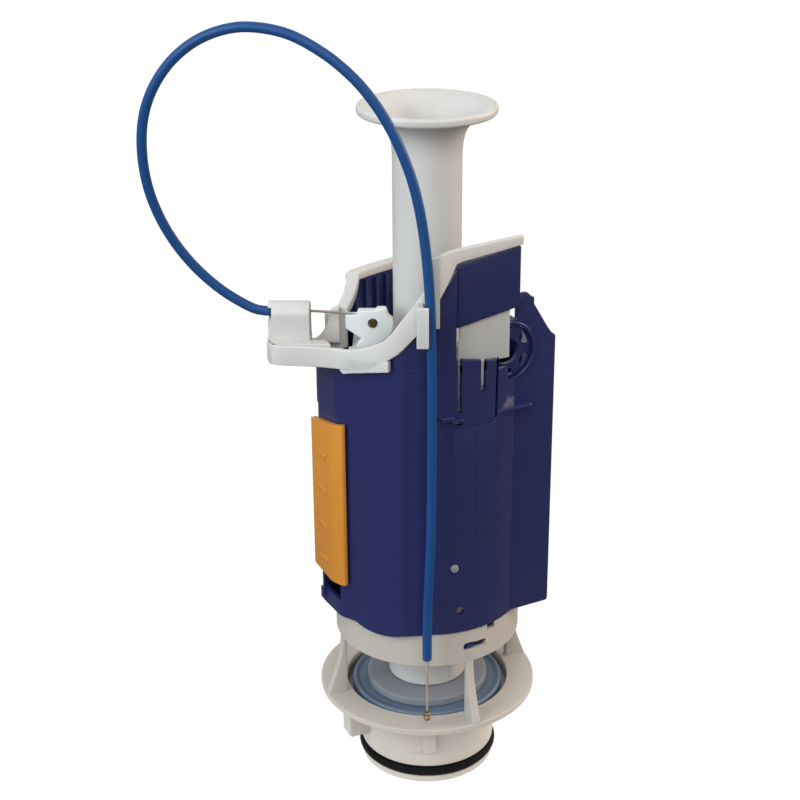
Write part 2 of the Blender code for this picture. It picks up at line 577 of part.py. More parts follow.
def make_clamp(white, brass):
    """Block that grips the sheath; its bore lets the bare wire through to the crank."""
    side = [(-13.0, 237.7), (-26.0, 237.7), (-26.0, 250.4), (-23.6, 253.4), (-20.0, 254.8), (-16.4, 253.4),
            (-13.0, 250.0)]
    block = add_object("cable_clamp_block", crosswise_mesh(side, -72.6, -53.6), white)
    bore = cylinder_mesh(2.0, 30.0, 20)
    bmesh.ops.rotate(bore, verts=bore.verts, cent=(0, 0, 0), matrix=Matrix.Rotation(pi / 2, 3, "Y"))
    bmesh.ops.translate(bore, verts=bore.verts, vec=(-62.0, -20.0, 249.8))
    recess = box_mesh((-74.0, -70.9), (-30.0, -17.0), (246.8, 252.6))
    combine(block, [add_object("bore", bore), add_object("recess", recess)], "DIFFERENCE")
    turned(block, LEVER_TURN)
    pin = add_object("crank_pivot_pin", lying(cylinder_mesh(PIVOT_PIN_R, 41.5, 20), 0.0, -6.0, 0.0), brass)
    turned(pin, LEVER_TURN, lever_point(PIVOT[0], 0.0, PIVOT[1]))


def make_crank(white, brass):
    """Bell crank; its origin is on the pivot and its mesh is built around that point."""
    px, pz = PIVOT
    head = [(-37.3, 242.0), (-30.2, 237.0), (-35.4, 229.4), (-36.0, 225.5), (-34.6, 222.3), (-31.5, 221.3),
            (-25.0, 221.3), (-22.0, 224.0), (-21.0, 235.4), (-18.0, 237.5), (-15.6, 241.6), (-15.6, 246.0),
            (-17.6, 247.7), (-18.8, 251.3), (-22.9, 251.3), (-23.4, 250.3), (-31.5, 250.3), (-32.1, 248.3),
            (-37.3, 248.3)]
    crank = add_object("bell_crank", upright_mesh([(x - px, z - pz) for x, z in head], *LEVER_Y), white)
    parts = [box_mesh((-3.6, 9.0), (-20.0, 10.9), (-3.2, 3.2)),
             box_mesh((8.0, 12.0), (-FORK_Y[1], FORK_Y[1]), (-2.5, 2.5)),
             box_mesh((8.0, FORK_REACH), FORK_Y, (-2.5, 2.5)),
             box_mesh((8.0, FORK_REACH), (-FORK_Y[1], -FORK_Y[0]), (-2.5, 2.5))]
    combine(crank, [add_object("piece", bm) for bm in parts])
    nx, nz = NIPPLE_AT[0] - px, NIPPLE_AT[1] - pz
    slot = [(nx - 1.6, nz - 1.4), (nx + 1.4, nz + 1.2), (nx - 2.0, nz + 8.0), (nx - 16.0, nz + 8.0),
            (nx - 16.0, nz - 1.6)]
    cuts = [lying(cylinder_mesh(PIVOT_PIN_R + GAP, 60.0, 20), 0.0, 0.0, 0.0),
            lying(cylinder_mesh(2.3, 12.0, 20), nx, -20.0, nz),
            upright_mesh(slot, -21.1, -18.9)]
    combine(crank, [add_object("cut", bm) for bm in cuts], "DIFFERENCE")
    turned(crank, LEVER_TURN, lever_point(px, 0.0, pz))
    nipple = add_object("lever_wire_nipple", lying(cylinder_mesh(2.0, 6.0, 20), nx, -20.2, nz), brass)
    turned(nipple, LEVER_TURN, lever_point(px, 0.0, pz))


def make_cable(blue, steel, brass):
    wire_object("cable_sheath", CABLE_ROUTE, CABLE_R, blue, LEVER_TURN)
    sleeve = lathe_mesh([(1.1, SHEATH_END_Z), (CABLE_R, SHEATH_END_Z), (CABLE_R, END_SLEEVE_TOP),
                         (1.1, END_SLEEVE_TOP)], 16)
    end = lever_point(*FREE_END, 0.0)
    turned(add_object("cable_sheath_end", sleeve, blue), 0.0, end)
    wire_object("lever_wire", LEVER_WIRE_ROUTE, WIRE_R, steel, LEVER_TURN)
    free_wire = cylinder_at(WIRE_R, 58.4, 96.0, 12)
    turned(add_object("free_wire", free_wire, steel), 0.0, end)
    barrel = [(0.0, 53.0), (1.3, 53.0), (1.9, 54.6), (1.3, 56.0), (0.9, 56.2), (0.9, 58.1), (0.0, 58.1)]
    turned(add_object("free_end_nipple", lathe_mesh(barrel, 16), brass), 0.0, end)


def main():
    clear_scene()
    white = material("white_plastic", (0.78, 0.76, 0.72), 0.42)
    grey = material("grey_plastic", (0.30, 0.32, 0.35), 0.5)
    navy = material("navy_plastic", (0.022, 0.028, 0.115), 0.34)
    ochre = material("ochre_plastic", (0.56, 0.25, 0.045), 0.4)
    blue = material("blue_sheath", (0.012, 0.10, 0.36), 0.38)
    seal = material("seal_rubber", (0.07, 0.12, 0.18), 0.55)
    black = material("black_rubber", (0.012, 0.012, 0.013), 0.6)
    steel = material("steel_wire", (0.45, 0.40, 0.34), 0.35, 1.0)
    brass = material("brass", (0.42, 0.29, 0.13), 0.35, 1.0)
    make_seat(white)
    make_o_ring(black)
    make_tube(white)
    make_stem_parts(white, grey, seal)
    make_housing(navy)
    make_housing_fittings(white, navy)
    make_slider(ochre)
    make_bracket(white)
    make_clamp(white, brass)
    make_crank(white, brass)
    make_cable(blue, steel, brass)


main()
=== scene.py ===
"""Looks of the cable-operated cistern flush valve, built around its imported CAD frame.

Lengths are in millimetres and scaled by MM when a mesh is made. Key places are read from the frame's
nodes; the bracket, the crank and the cable are laid out in the lever frame, which is the object frame
turned by LEVER_TURN about Z.
"""
from math import cos, pi, radians, sin

import bmesh
import bpy
from mathutils import Matrix, Vector


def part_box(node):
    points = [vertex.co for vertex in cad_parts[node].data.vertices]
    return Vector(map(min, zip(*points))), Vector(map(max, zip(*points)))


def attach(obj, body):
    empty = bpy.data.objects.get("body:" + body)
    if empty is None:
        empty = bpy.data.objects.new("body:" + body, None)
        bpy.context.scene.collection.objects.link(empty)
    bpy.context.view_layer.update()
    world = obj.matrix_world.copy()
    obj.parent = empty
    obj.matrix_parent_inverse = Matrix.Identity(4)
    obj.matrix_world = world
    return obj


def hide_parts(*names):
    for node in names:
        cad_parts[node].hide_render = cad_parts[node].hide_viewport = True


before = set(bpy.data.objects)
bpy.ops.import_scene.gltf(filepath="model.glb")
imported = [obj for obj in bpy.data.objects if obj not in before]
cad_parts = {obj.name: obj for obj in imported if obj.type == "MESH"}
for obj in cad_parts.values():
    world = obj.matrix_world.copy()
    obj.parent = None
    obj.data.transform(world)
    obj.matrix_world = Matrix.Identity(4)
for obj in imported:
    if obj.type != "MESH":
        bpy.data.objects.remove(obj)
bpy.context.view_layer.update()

MM = 0.001
ROUND = 160
SMOOTH_ANGLE = radians(32.0)
LEVER_TURN = radians(-29.0)


def span(node):
    """Lowest and highest corner of a CAD node, in millimetres."""
    low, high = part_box(node)
    return low / MM, high / MM


# ---------------------------------------------------------------- camera and cable

# The camera stands in metres and turns in degrees, as fitted to the photograph.
CAMERA_AT = (-0.3651, -0.6587, 0.5150)
CAMERA_DOWN = 23.757
CAMERA_TURN = -29.0
CAMERA_LENS = 76.5
CAMERA_SHIFT = (-0.034, 0.032)

# The routes are the CAD's own, in the lever frame, and so is the free end's (x, y).
CABLE_R, WIRE_R = 2.25, 0.6
SHEATH_END_Z = 87.0
FREE_END = (0.0, -57.2)
CABLE_ROUTE = [
    (-71.4, -20.0, 249.6), (-77.0, -20.0, 250.2), (-83.0, -20.0, 252.8), (-93.5, -20.5, 260.0),
    (-104.0, -21.5, 270.4), (-112.6, -23.0, 282.6), (-119.0, -25.0, 296.3), (-122.9, -27.0, 310.9),
    (-123.9, -29.2, 326.5), (-122.0, -31.5, 341.5), (-116.9, -33.7, 354.7), (-108.2, -36.0, 366.8),
    (-96.8, -38.5, 376.0), (-84.0, -41.0, 381.3), (-71.5, -43.3, 382.6), (-56.8, -46.0, 380.0),
    (-42.2, -48.5, 372.4), (-30.6, -50.4, 363.0), (-22.4, -51.6, 353.4), (-15.8, -52.5, 343.0),
    (-10.6, -53.0, 332.0), (-6.6, -53.4, 321.0), (-3.8, -53.6, 310.0), (-1.7, -53.7, 298.0),
    (-0.2, -53.8, 285.5), (0.9, -53.9, 272.0), (1.6, -54.0, 256.0), (2.0, -54.2, 238.0),
    (2.1, -54.7, 218.0), (2.1, -55.3, 196.0), (2.0, -56.0, 172.0), (1.6, -56.6, 148.0),
    (0.8, -57.0, 128.0), (0.2, -57.2, 112.0), (0.0, -57.2, 98.3),
]
LEVER_WIRE_ROUTE = [
    (-61.6, -20.0, 249.6), (-58.0, -20.0, 249.7), (-52.0, -20.0, 249.6), (-46.0, -20.0, 249.3),
    (-39.5, -20.0, 248.7), (-34.0, -20.0, 247.9), (-30.5, -20.0, 246.6), (-27.25, -20.0, 245.0),
]


def lever_point(x, y, z):
    """Object-frame millimetres of a point given in the lever frame."""
    return Matrix.Rotation(LEVER_TURN, 3, "Z") @ Vector((x, y, z))


def smooth_route(points, spacing):
    """Catmull-Rom curve through the points, sampled at about the given spacing."""
    ends = [points[0] * 2 - points[1]] + points + [points[-1] * 2 - points[-2]]
    out = []
    for a, b, c, d in zip(ends, ends[1:], ends[2:], ends[3:]):
        steps = max(1, round((c - b).length / spacing))
        for i in range(steps):
            t = i / steps
            out.append(0.5 * (2 * b + (c - a) * t + (2 * a - 5 * b + 4 * c - d) * t * t
                              + (3 * b - a - 3 * c + d) * t * t * t))
    return out + [points[-1]]


def smooth_profile(points, spacing):
    """The same curve through points given as number pairs, returned as pairs."""
    return [tuple(p) for p in smooth_route([Vector(p) for p in points], spacing)]


def linked(name, data):
    """A new object with this data, linked into the scene."""
    obj = bpy.data.objects.new(name, data)
    bpy.context.scene.collection.objects.link(obj)
    return obj


def make_camera():
    data = bpy.data.cameras.new("camera")
    data.lens = CAMERA_LENS
    data.shift_x, data.shift_y = CAMERA_SHIFT
    camera = linked("camera", data)
    camera.location = CAMERA_AT
    camera.rotation_euler = (radians(90.0 - CAMERA_DOWN), 0.0, radians(CAMERA_TURN))
    bpy.context.scene.camera = camera


# ---------------------------------------------------------------- materials

# Noise scales are per metre of the object, and bump depths are in metres.
GLOSS_SCALE = 140.0
RIPPLE_SCALE, RIPPLE_DEPTH = 48.0, 0.004
GRAIN_SCALE, GRAIN_DEPTH = 1500.0, 0.0002
STRAND_DEPTH = 0.0003


def node_link(tree, source, target):
    tree.links.new(source, target)


def noise(tree, place, scale, detail):
    texture = tree.nodes.new("ShaderNodeTexNoise")
    texture.inputs["Scale"].default_value = scale
    texture.inputs["Detail"].default_value = detail
    node_link(tree, place, texture.inputs["Vector"])
    return texture.outputs["Fac"]


def bump(tree, height, strength, distance, before=None):
    node = tree.nodes.new("ShaderNodeBump")
    node.inputs["Strength"].default_value = strength
    node.inputs["Distance"].default_value = distance
    node_link(tree, height, node.inputs["Height"])
    if before:
        node_link(tree, before, node.inputs["Normal"])
    return node.outputs["Normal"]


def plastic(name, color, roughness, spread, grain=0.04, ripple=0.02, bleed=0.0, gleam=0.5,
            rough_spread=0.06, drift_scale=55.0):
    """Moulded plastic: slow colour drift, uneven gloss, a faint moulding ripple and a fine grain.

    spread is the colour drift, bleed the light that passes under the surface, and gleam the strength of
    the reflection.
    """
    mat = bpy.data.materials.new(name)
    mat.use_nodes = True
    tree = mat.node_tree
    shader = tree.nodes["Principled BSDF"]
    shader.inputs["IOR"].default_value = 1.5
    shader.inputs["Specular IOR Level"].default_value = gleam
    if bleed:
        shader.inputs["Subsurface Weight"].default_value = bleed
        shader.inputs["Subsurface Radius"].default_value = (1.0, 0.8, 0.6)
        shader.inputs["Subsurface Scale"].default_value = 0.003
    place = tree.nodes.new("ShaderNodeTexCoord").outputs["Object"]
    drift = noise(tree, place, drift_scale, 3.0)
    tint = tree.nodes.new("ShaderNodeMix")
    tint.data_type = "RGBA"
    node_link(tree, drift, tint.inputs["Factor"])
    tint.inputs["A"].default_value = (*[c * (1.0 - spread) for c in color], 1.0)
    tint.inputs["B"].default_value = (*[min(1.0, c * (1.0 + spread)) for c in color], 1.0)
    node_link(tree, tint.outputs["Result"], shader.inputs["Base Color"])
    gloss = tree.nodes.new("ShaderNodeMapRange")
    gloss.inputs["To Min"].default_value = roughness - rough_spread
    gloss.inputs["To Max"].default_value = roughness + rough_spread
    node_link(tree, noise(tree, place, GLOSS_SCALE, 4.0), gloss.inputs["Value"])
    node_link(tree, gloss.outputs["Result"], shader.inputs["Roughness"])
    slow = bump(tree, noise(tree, place, RIPPLE_SCALE, 1.0), ripple, RIPPLE_DEPTH)
    fine = bump(tree, noise(tree, place, GRAIN_SCALE, 2.0), grain, GRAIN_DEPTH, slow)
    node_link(tree, fine, shader.inputs["Normal"])
    return mat


def metal(name, color, roughness, turns=0.0):
    """Plain metal with patchy tarnish; turns gives the twisted strands of a wire."""
    mat = plastic(name, color, roughness, grain=0.1, spread=0.22, rough_spread=0.12, drift_scale=320.0)
    tree = mat.node_tree
    shader = tree.nodes["Principled BSDF"]
    shader.inputs["Metallic"].default_value = 1.0
    if turns:
        wave = tree.nodes.new("ShaderNodeTexWave")
        wave.bands_direction = "DIAGONAL"
        wave.inputs["Scale"].default_value = turns
        place = tree.nodes.new("ShaderNodeTexCoord").outputs["Object"]
        node_link(tree, place, wave.inputs["Vector"])
        before = shader.inputs["Normal"].links[0].from_socket
        strands = bump(tree, wave.outputs["Fac"], 0.6, STRAND_DEPTH, before)
        node_link(tree, strands, shader.inputs["Normal"])
    return mat


# ---------------------------------------------------------------- mesh building

NEARLY_STRAIGHT = radians(172.0)
SHARP_EDGE = radians(28.0)


def lathe(profile, segments=ROUND):
    """Revolve a closed (radius, z) outline about Z."""
    bm = bmesh.new()
    rings = []
    for radius, z in profile:
        if radius < 1e-6:
            rings.append([bm.verts.new((0.0, 0.0, z))])
            continue
        angles = [2.0 * pi * i / segments for i in range(segments)]
        rings.append([bm.verts.new((radius * cos(a), radius * sin(a), z)) for a in angles])
    for low, high in zip(rings, rings[1:] + rings[:1]):
        if len(low) == 1 and len(high) == 1:
            continue
        for i in range(segments):
            j = (i + 1) % segments
            corners = [low[i % len(low)], low[j % len(low)], high[j % len(high)], high[i % len(high)]]
            bm.faces.new(list(dict.fromkeys(corners)))
    return bm


def eased(points, radius, steps=3):
    """Round the corners of a closed outline; a point may carry its own radius as a third number."""
    out = []
    count = len(points)
    for i, point in enumerate(points):
        here = Vector(point[:2])
        back = Vector(points[i - 1][:2]) - here
        on = Vector(points[(i + 1) % count][:2]) - here
        own = point[2] if len(point) > 2 else radius
        bend = back.angle(on, pi) if back.length and on.length else pi
        if own <= 0.0 or bend > NEARLY_STRAIGHT:
            out.append(tuple(here))
            continue
        reach = min(own, 0.45 * back.length, 0.45 * on.length)
        start, end = here + back.normalized() * reach, here + on.normalized() * reach
        for k in range(steps + 1):
            t = k / steps
            out.append(tuple(start * (1 - t) ** 2 + here * 2 * t * (1 - t) + end * t * t))
    return out


def bevel(bm, edges, width, segments):
    bmesh.ops.bevel(bm, geom=edges, offset=width, offset_type="OFFSET", segments=segments, profile=0.5,
                    affect="EDGES", clamp_overlap=True)
    return bm


def soften(bm, width, segments=2):
    """Bevel every sharp edge."""
    bm.normal_update()
    sharp = [e for e in bm.edges if e.is_manifold and e.calc_face_angle(0.0) > SHARP_EDGE]
    return bevel(bm, sharp, width, segments)


def prism(outline, z0, z1, edge=0.0):
    """Extrude an (x, y) outline from z0 to z1, with rounded rims."""
    bm = bmesh.new()
    low = [bm.verts.new((p[0], p[1], z0)) for p in outline]
    high = [bm.verts.new((p[0], p[1], z1)) for p in outline]
    caps = [bm.faces.new(low[::-1]), bm.faces.new(high)]
    for i in range(len(outline)):
        j = (i + 1) % len(outline)
        bm.faces.new((low[i], low[j], high[j], high[i]))
    bmesh.ops.recalc_face_normals(bm, faces=bm.faces)
    if edge:
        bevel(bm, list({e for cap in caps for e in cap.edges}), edge, 3)
    return bm


def upright(outline, y0, y1, edge=0.0):
    """Extrude an (x, z) outline from y0 to y1."""
    bm = prism(outline, y0, y1, edge)
    for vert in bm.verts:
        x, z, y = vert.co
        vert.co = (x, y, z)
    bmesh.ops.recalc_face_normals(bm, faces=bm.faces)
    return bm


def crosswise(outline, x0, x1, edge=0.0):
    """Extrude a (y, z) outline from x0 to x1."""
    bm = prism(outline, x0, x1, edge)
    for vert in bm.verts:
        y, z, x = vert.co
        vert.co = (x, y, z)
    return bm


def block(x, y, z, edge):
    """A box between pairs of x, y and z, with rounded edges unless edge is 0."""
    bm = prism([(x[0], y[0]), (x[1], y[0]), (x[1], y[1]), (x[0], y[1])], z[0], z[1])
    return soften(bm, edge) if edge else bm


def circle(cx, cy, radius, steps):
    angles = [2 * pi * i / steps for i in range(steps)]
    return [(cx + radius * cos(a), cy + radius * sin(a)) for a in angles]


def arc(radius, start, end, steps):
    angles = [start + (end - start) * i / steps for i in range(steps + 1)]
    return [(radius * cos(a), radius * sin(a)) for a in angles]


def ribbon(stations, thickness, edge, spacing=1.2):
    """A wall with rounded edges along stations of (x, y, lowest z, highest z).

    Its course is a smooth curve with points at the given spacing, or straight runs if spacing is None.
    """
    if spacing:
        stations = smooth_profile(stations, spacing)
    path = [Vector(s[:2]) for s in stations]
    bm = bmesh.new()
    rings = []
    for i, (_, _, z0, z1) in enumerate(stations):
        before = (path[i] - path[i - 1]).normalized() if i else None
        after = (path[i + 1] - path[i]).normalized() if i + 1 < len(path) else None
        along = ((before or after) + (after or before)).normalized()
        side = Vector((-along.y, along.x))
        base = after or before
        half = 0.5 * thickness / max(0.5, abs(side.dot(Vector((-base.y, base.x)))))
        section = eased([(-half, z0), (half, z0), (half, z1), (-half, z1)], edge)
        rings.append([bm.verts.new((*(path[i] + side * s), z)) for s, z in section])
    bm.faces.new(rings[0][::-1])
    bm.faces.new(rings[-1])
    for a, b in zip(rings, rings[1:]):
        for i in range(len(a)):
            j = (i + 1) % len(a)
            bm.faces.new((a[i], a[j], b[j], b[i]))
    return bm


def turn_z(bm, angle):
    bmesh.ops.rotate(bm, verts=bm.verts, cent=(0, 0, 0), matrix=Matrix.Rotation(angle, 3, "Z"))
    return bm


def moved(bm, x, y, z):
    bmesh.ops.translate(bm, verts=bm.verts, vec=(x, y, z))
    return bm


def lying(bm, x, y, z):
    """Turn a mesh about Z so that it lies along Y, and move it to (x, y, z)."""
    bmesh.ops.rotate(bm, verts=bm.verts, cent=(0, 0, 0), matrix=Matrix.Rotation(pi / 2, 3, "X"))
    return moved(bm, x, y, z)


def rod(radius, length, segments, edge=0.0):
    return prism(circle(0.0, 0.0, radius, segments), -0.5 * length, 0.5 * length, edge)


def to_object(name, bm):
    bmesh.ops.recalc_face_normals(bm, faces=bm.faces)
    mesh = bpy.data.meshes.new(name)
    bm.to_mesh(mesh)
    bm.free()
    return linked(name, mesh)


def carve(bm, cutters):
    """Cut meshes from a mesh with exact Booleans."""
    base = to_object("carved", bm)
    tools = [to_object("tool", c) for c in cutters]
    for tool in tools:
        mod = base.modifiers.new("Cut", "BOOLEAN")
        mod.operation = "DIFFERENCE"
        mod.solver = "EXACT"
        mod.object = tool
    bpy.context.view_layer.update()
    evaluated = base.evaluated_get(bpy.context.evaluated_depsgraph_get())
    mesh = bpy.data.meshes.new_from_object(evaluated)
    out = bmesh.new()
    out.from_mesh(mesh)
    for obj in [base] + tools:
        bpy.data.objects.remove(obj)
    bpy.data.meshes.remove(mesh)
    return out


def joined(meshes):
    """Put several meshes into one, each keeping its own shell."""
    out = bmesh.new()
    for bm in meshes:
        bmesh.ops.recalc_face_normals(bm, faces=bm.faces)
        scratch = bpy.data.meshes.new("scratch")
        bm.to_mesh(scratch)
        bm.free()
        out.from_mesh(scratch)
        bpy.data.meshes.remove(scratch)
    return out


def piece(name, bm, mat, body, replaces, turn=0.0):
    """Make a finished piece in metres, riding on its body in place of its CAD nodes."""
    if turn:
        turn_z(bm, turn)
    bmesh.ops.scale(bm, vec=(MM, MM, MM), verts=bm.verts)
    mesh = bpy.data.meshes.new(name)
    bm.to_mesh(mesh)
    bm.free()
    mesh.materials.append(mat)
    mesh.shade_smooth()
    mesh.set_sharp_from_angle(angle=SMOOTH_ANGLE)
    obj = linked(name, mesh)
    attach(obj, body)
    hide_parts(*replaces)
    return obj


def finish_node(node, mat):
    """Keep a CAD node's shape and give it a finished material."""
    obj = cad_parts[node]
    obj.data.materials.clear()
    obj.data.materials.append(mat)


# ---------------------------------------------------------------- seat and outlet

FLANGE_R = span("valve_seat_body")[1].x
COLLAR_TOP = span("valve_seat_body")[1].z
COLLAR_R, COLLAR_INNER_R = 46.0, 43.6
FLANGE_TOP = 45.0
WELL_R = 41.0
O_RING_LOW, O_RING_HIGH = span("outlet_o_ring")
# Turns about Z, in degrees from +X.
POST_TURNS = (-92.0, -7.0, 88.0, 173.0)
KEYHOLE_TURNS = (-90.0, 0.0, 90.0)
WEB_TURNS = (41.0, 131.0)
LUG_TURNS = (176.0, 356.0)
BOSS_TURNS = (-122.6, 57.4)


def seat_spigot():
    """The outlet spigot with its O-ring groove, the flange and the seat's raised lip."""
    groove = (O_RING_LOW.z - 0.4, O_RING_HIGH.z + 0.4)
    spigot = [(29.0, 0.0), (33.3, 0.0), (33.8, 0.8), (33.8, groove[0]), (30.8, groove[0]), (30.8, groove[1]),
              (33.9, groove[1] + 0.3), (34.3, 14.0), (34.8, 33.0, 2.0), (COLLAR_INNER_R, 36.0),
              (COLLAR_INNER_R, 42.0), (FLANGE_R, 42.0), (FLANGE_R, FLANGE_TOP), (WELL_R, FLANGE_TOP),
              (WELL_R, 37.6), (34.6, 37.6), (33.2, 39.8), (31.8, 39.8), (30.4, 36.4), (29.0, 34.0)]
    return lathe(eased(spigot, 0.7))


def seat_collar():
    """The ring on top of the posts, with keyhole slots and the notches above them."""
    section = [(COLLAR_INNER_R, 76.0), (COLLAR_R, 76.0), (COLLAR_R, COLLAR_TOP), (COLLAR_INNER_R, COLLAR_TOP)]
    slot = eased([(-5.2, 82.6), (7.7, 82.6), (7.7, 86.4), (1.2, 86.4), (-1.6, 87.0), (-5.2, 86.4)], 1.4)
    notch = eased([(8.2, 90.4), (13.2, 90.4), (13.2, 96.0), (8.2, 96.0)], 0.6)
    cuts = []
    for turn in KEYHOLE_TURNS:
        cuts += [turn_z(crosswise(outline, 40.0, 50.0), radians(turn)) for outline in (slot, notch)]
    return carve(lathe(eased(section, 0.7)), cuts)


def seat_posts():
    outer = smooth_profile([(54.3, 43.4), (54.0, 46.0), (51.8, 52.0), (49.7, 58.0), (47.8, 64.0),
                            (46.6, 70.0), (46.0, 76.0), (45.6, 80.5)], 1.0)
    post = [(43.9, 43.4)] + outer + [(43.9, 80.5)]
    return [turn_z(upright(post, -2.0, 2.0, 0.45), radians(turn)) for turn in POST_TURNS]


def seat_lugs():
    """The two bayonet lugs below the flange, and the paired bosses between them."""
    lug = eased([(32.0, 19.5), (44.3, 19.5, 2.0), (45.5, 21.0), (45.5, 42.3), (42.0, 42.3), (42.0, 37.0),
                 (32.0, 37.0)], 0.8)
    lugs = [turn_z(upright(lug, -4.4, 4.4, 1.2), radians(turn)) for turn in LUG_TURNS]
    boss = [(-3.4, 36.0), (-3.4, 20.4, 2.6), (3.4, 20.4, 2.6), (3.4, 36.0)]
    for turn in BOSS_TURNS:
        for side in (-3.3, 3.3):
            outline = eased([(y + side, z, *own) for y, z, *own in boss], 0.4, 5)
            lugs.append(turn_z(crosswise(outline, 32.0, 37.6, 0.7), radians(turn)))
    return lugs


def make_seat(mat):
    webs = [turn_z(block((-29.6, 29.6), (-1.1, 1.1), (0.2, 9.0), 0.3), radians(turn)) for turn in WEB_TURNS]
    hub = prism(circle(0.0, 0.0, 6.0, 48), 0.0, 9.2, 0.5)
    parts = [seat_spigot(), seat_collar()] + seat_posts() + webs + [hub] + seat_lugs()
    piece("valve_seat", joined(parts), mat, "base", ["valve_seat_body"])


def make_o_ring(mat):
    middle = 0.5 * (O_RING_LOW.z + O_RING_HIGH.z)
    half = 0.5 * (O_RING_HIGH.z - O_RING_LOW.z)
    section = [(33.2 + 2.1 * x, middle + half * z) for x, z in circle(0.0, 0.0, 1.0, 28)]
    piece("o_ring", lathe(section), mat, "base", ["outlet_o_ring"])


# ---------------------------------------------------------------- moving stem

TUBE_R, TUBE_BORE_R = 16.0, 14.0
TUBE_LOW, TUBE_HIGH = span("overflow_tube")
KEY_TURN = -82.0


def make_tube(mat):
    top = TUBE_HIGH.z
    rim = TUBE_HIGH.x
    outer = smooth_profile([(TUBE_R, top - 25.0), (16.3, top - 19.0), (17.7, top - 12.6),
                            (20.8, top - 8.0), (25.2, top - 5.4), (29.4, top - 4.5)], 1.2)
    inner = smooth_profile([(28.2, top - 0.3), (24.6, top - 1.6), (20.6, top - 4.6), (17.4, top - 9.4),
                            (15.2, top - 16.0), (TUBE_BORE_R, top - 26.0)], 1.2)
    lip = eased([(31.0, top - 4.4), (rim, top - 3.4), (rim, top - 1.0), (31.0, top)], 1.2, 4)
    profile = [(TUBE_BORE_R, TUBE_LOW.z), (TUBE_R, TUBE_LOW.z)] + outer + lip + inner
    piece("tube", lathe(profile), mat, "valve_stem", ["overflow_tube"])


def stem_ring(name, outline, ease, mat, node):
    """A turned piece on the overflow tube, in place of a CAD node."""
    piece(name, lathe(eased(outline, ease)), mat, "valve_stem", [node])


def make_stem_parts(white, grey, rubber):
    bore = TUBE_R + 0.3
    z = span("valve_seal")[0].z
    seal = [(bore, z), (38.4, z), (38.4, z + 3.0, 1.0), (37.6, z + 4.1, 0.6), (36.4, z + 4.1, 0.8),
            (35.0, z + 2.9, 0.8), (bore, z + 2.9)]
    stem_ring("seal_disc", seal, 0.5, rubber, "valve_seal")
    top = span("seal_clamp_washer")[1].z
    washer = [(bore, 43.3), (30.5, 43.3), (30.5, top - 1.3), (29.2, top - 0.9), (22.0, top), (bore, top)]
    stem_ring("clamp_washer", washer, 0.4, grey, "seal_clamp_washer")
    low, high = span("stem_sleeve")
    sleeve = lathe(eased([(bore, low.z), (19.6, low.z), (19.6, high.z), (bore, high.z)], 0.8))
    key = block((18.8, 19.9), (-0.9, 0.9), (low.z + 0.6, high.z - 3.0), 0.3)
    turn_z(key, radians(KEY_TURN))
    piece("lower_sleeve", joined([sleeve, key]), white, "valve_stem", ["stem_sleeve"])
    collar = [(bore, 229.2), (22.0, 229.2), (22.0, 231.4), (18.6, 233.0), (bore, 233.0)]
    stem_ring("tube_collar", collar, 0.4, white, "lift_collar")
    low, high = span("main_float")
    cup = [(bore, low.z), (39.5, low.z, 3.0), (39.5, high.z, 3.0), (bore, high.z)]
    stem_ring("float_cup", cup, 0.5, grey, "main_float")


# ---------------------------------------------------------------- housing

SHELL_R = 47.0
WALL = 2.2
SHELL_LOW = COLLAR_TOP + 0.3
SHELL_TOP = 232.0
SHELL_ARC = (radians(-115.0), radians(152.0))
FLAT_X = -51.0
FLAT_ENDS = (Vector((FLAT_X, -5.0)), Vector((-34.0, -37.0)))
FLAT_OUT = Vector((-0.883, -0.469))
FLAT_START, FLAT_STEP, FLAT_POINTS = 0.24, 0.06, 11
BELLY = 2.0
EDGE_DROP = 1.6

SOCKET = (19.6, 232.0)
SOCKET_R = 13.0
WING_Y = (-40.4, -38.0)
WING_MIDDLE = 0.5 * (WING_Y[0] + WING_Y[1])
PEG_AT = (-10.4, 129.4)

# Plan corners of the back wall, from the tube's right to the far left, and the turns of its ribs.
BACK_RIGHT = Vector((18.6, 42.3))
BACK_LEFT = Vector((-26.0, 31.0))
FAR_LEFT = Vector((-49.6, 16.4))
BACK_RIB_TURN = radians(14.2)
LEFT_RIB_TURN = radians(31.7)


def swell(t):
    """How far the rounded part of the flat face has risen at t along it: 0 beside the slider, 1 midway."""
    u = min(1.0, max(0.0, (t - FLAT_START) / (1.0 - FLAT_START)))
    return 4.0 * u * (1.0 - u)


def shell_outline(inset, belly):
    """Plan outline of the shell, moved in by inset; belly rounds out the flat left front face."""
    shift = inset * 0.75
    corners = [(FLAT_X + inset, 17.0 - shift, 4.0), (FLAT_X + inset, -5.0 + shift * 0.4, 3.0)]
    for i in range(FLAT_POINTS):
        t = FLAT_START + FLAT_STEP * i
        point = FLAT_ENDS[0].lerp(FLAT_ENDS[1], t) + FLAT_OUT * (swell(t) * belly - inset)
        corners.append((point.x, point.y))
    corners.append((-34.0 + shift, -37.0 + inset * 0.9, 5.0))
    return eased(arc(SHELL_R - inset, *SHELL_ARC, 120) + corners, 0.0, 6)


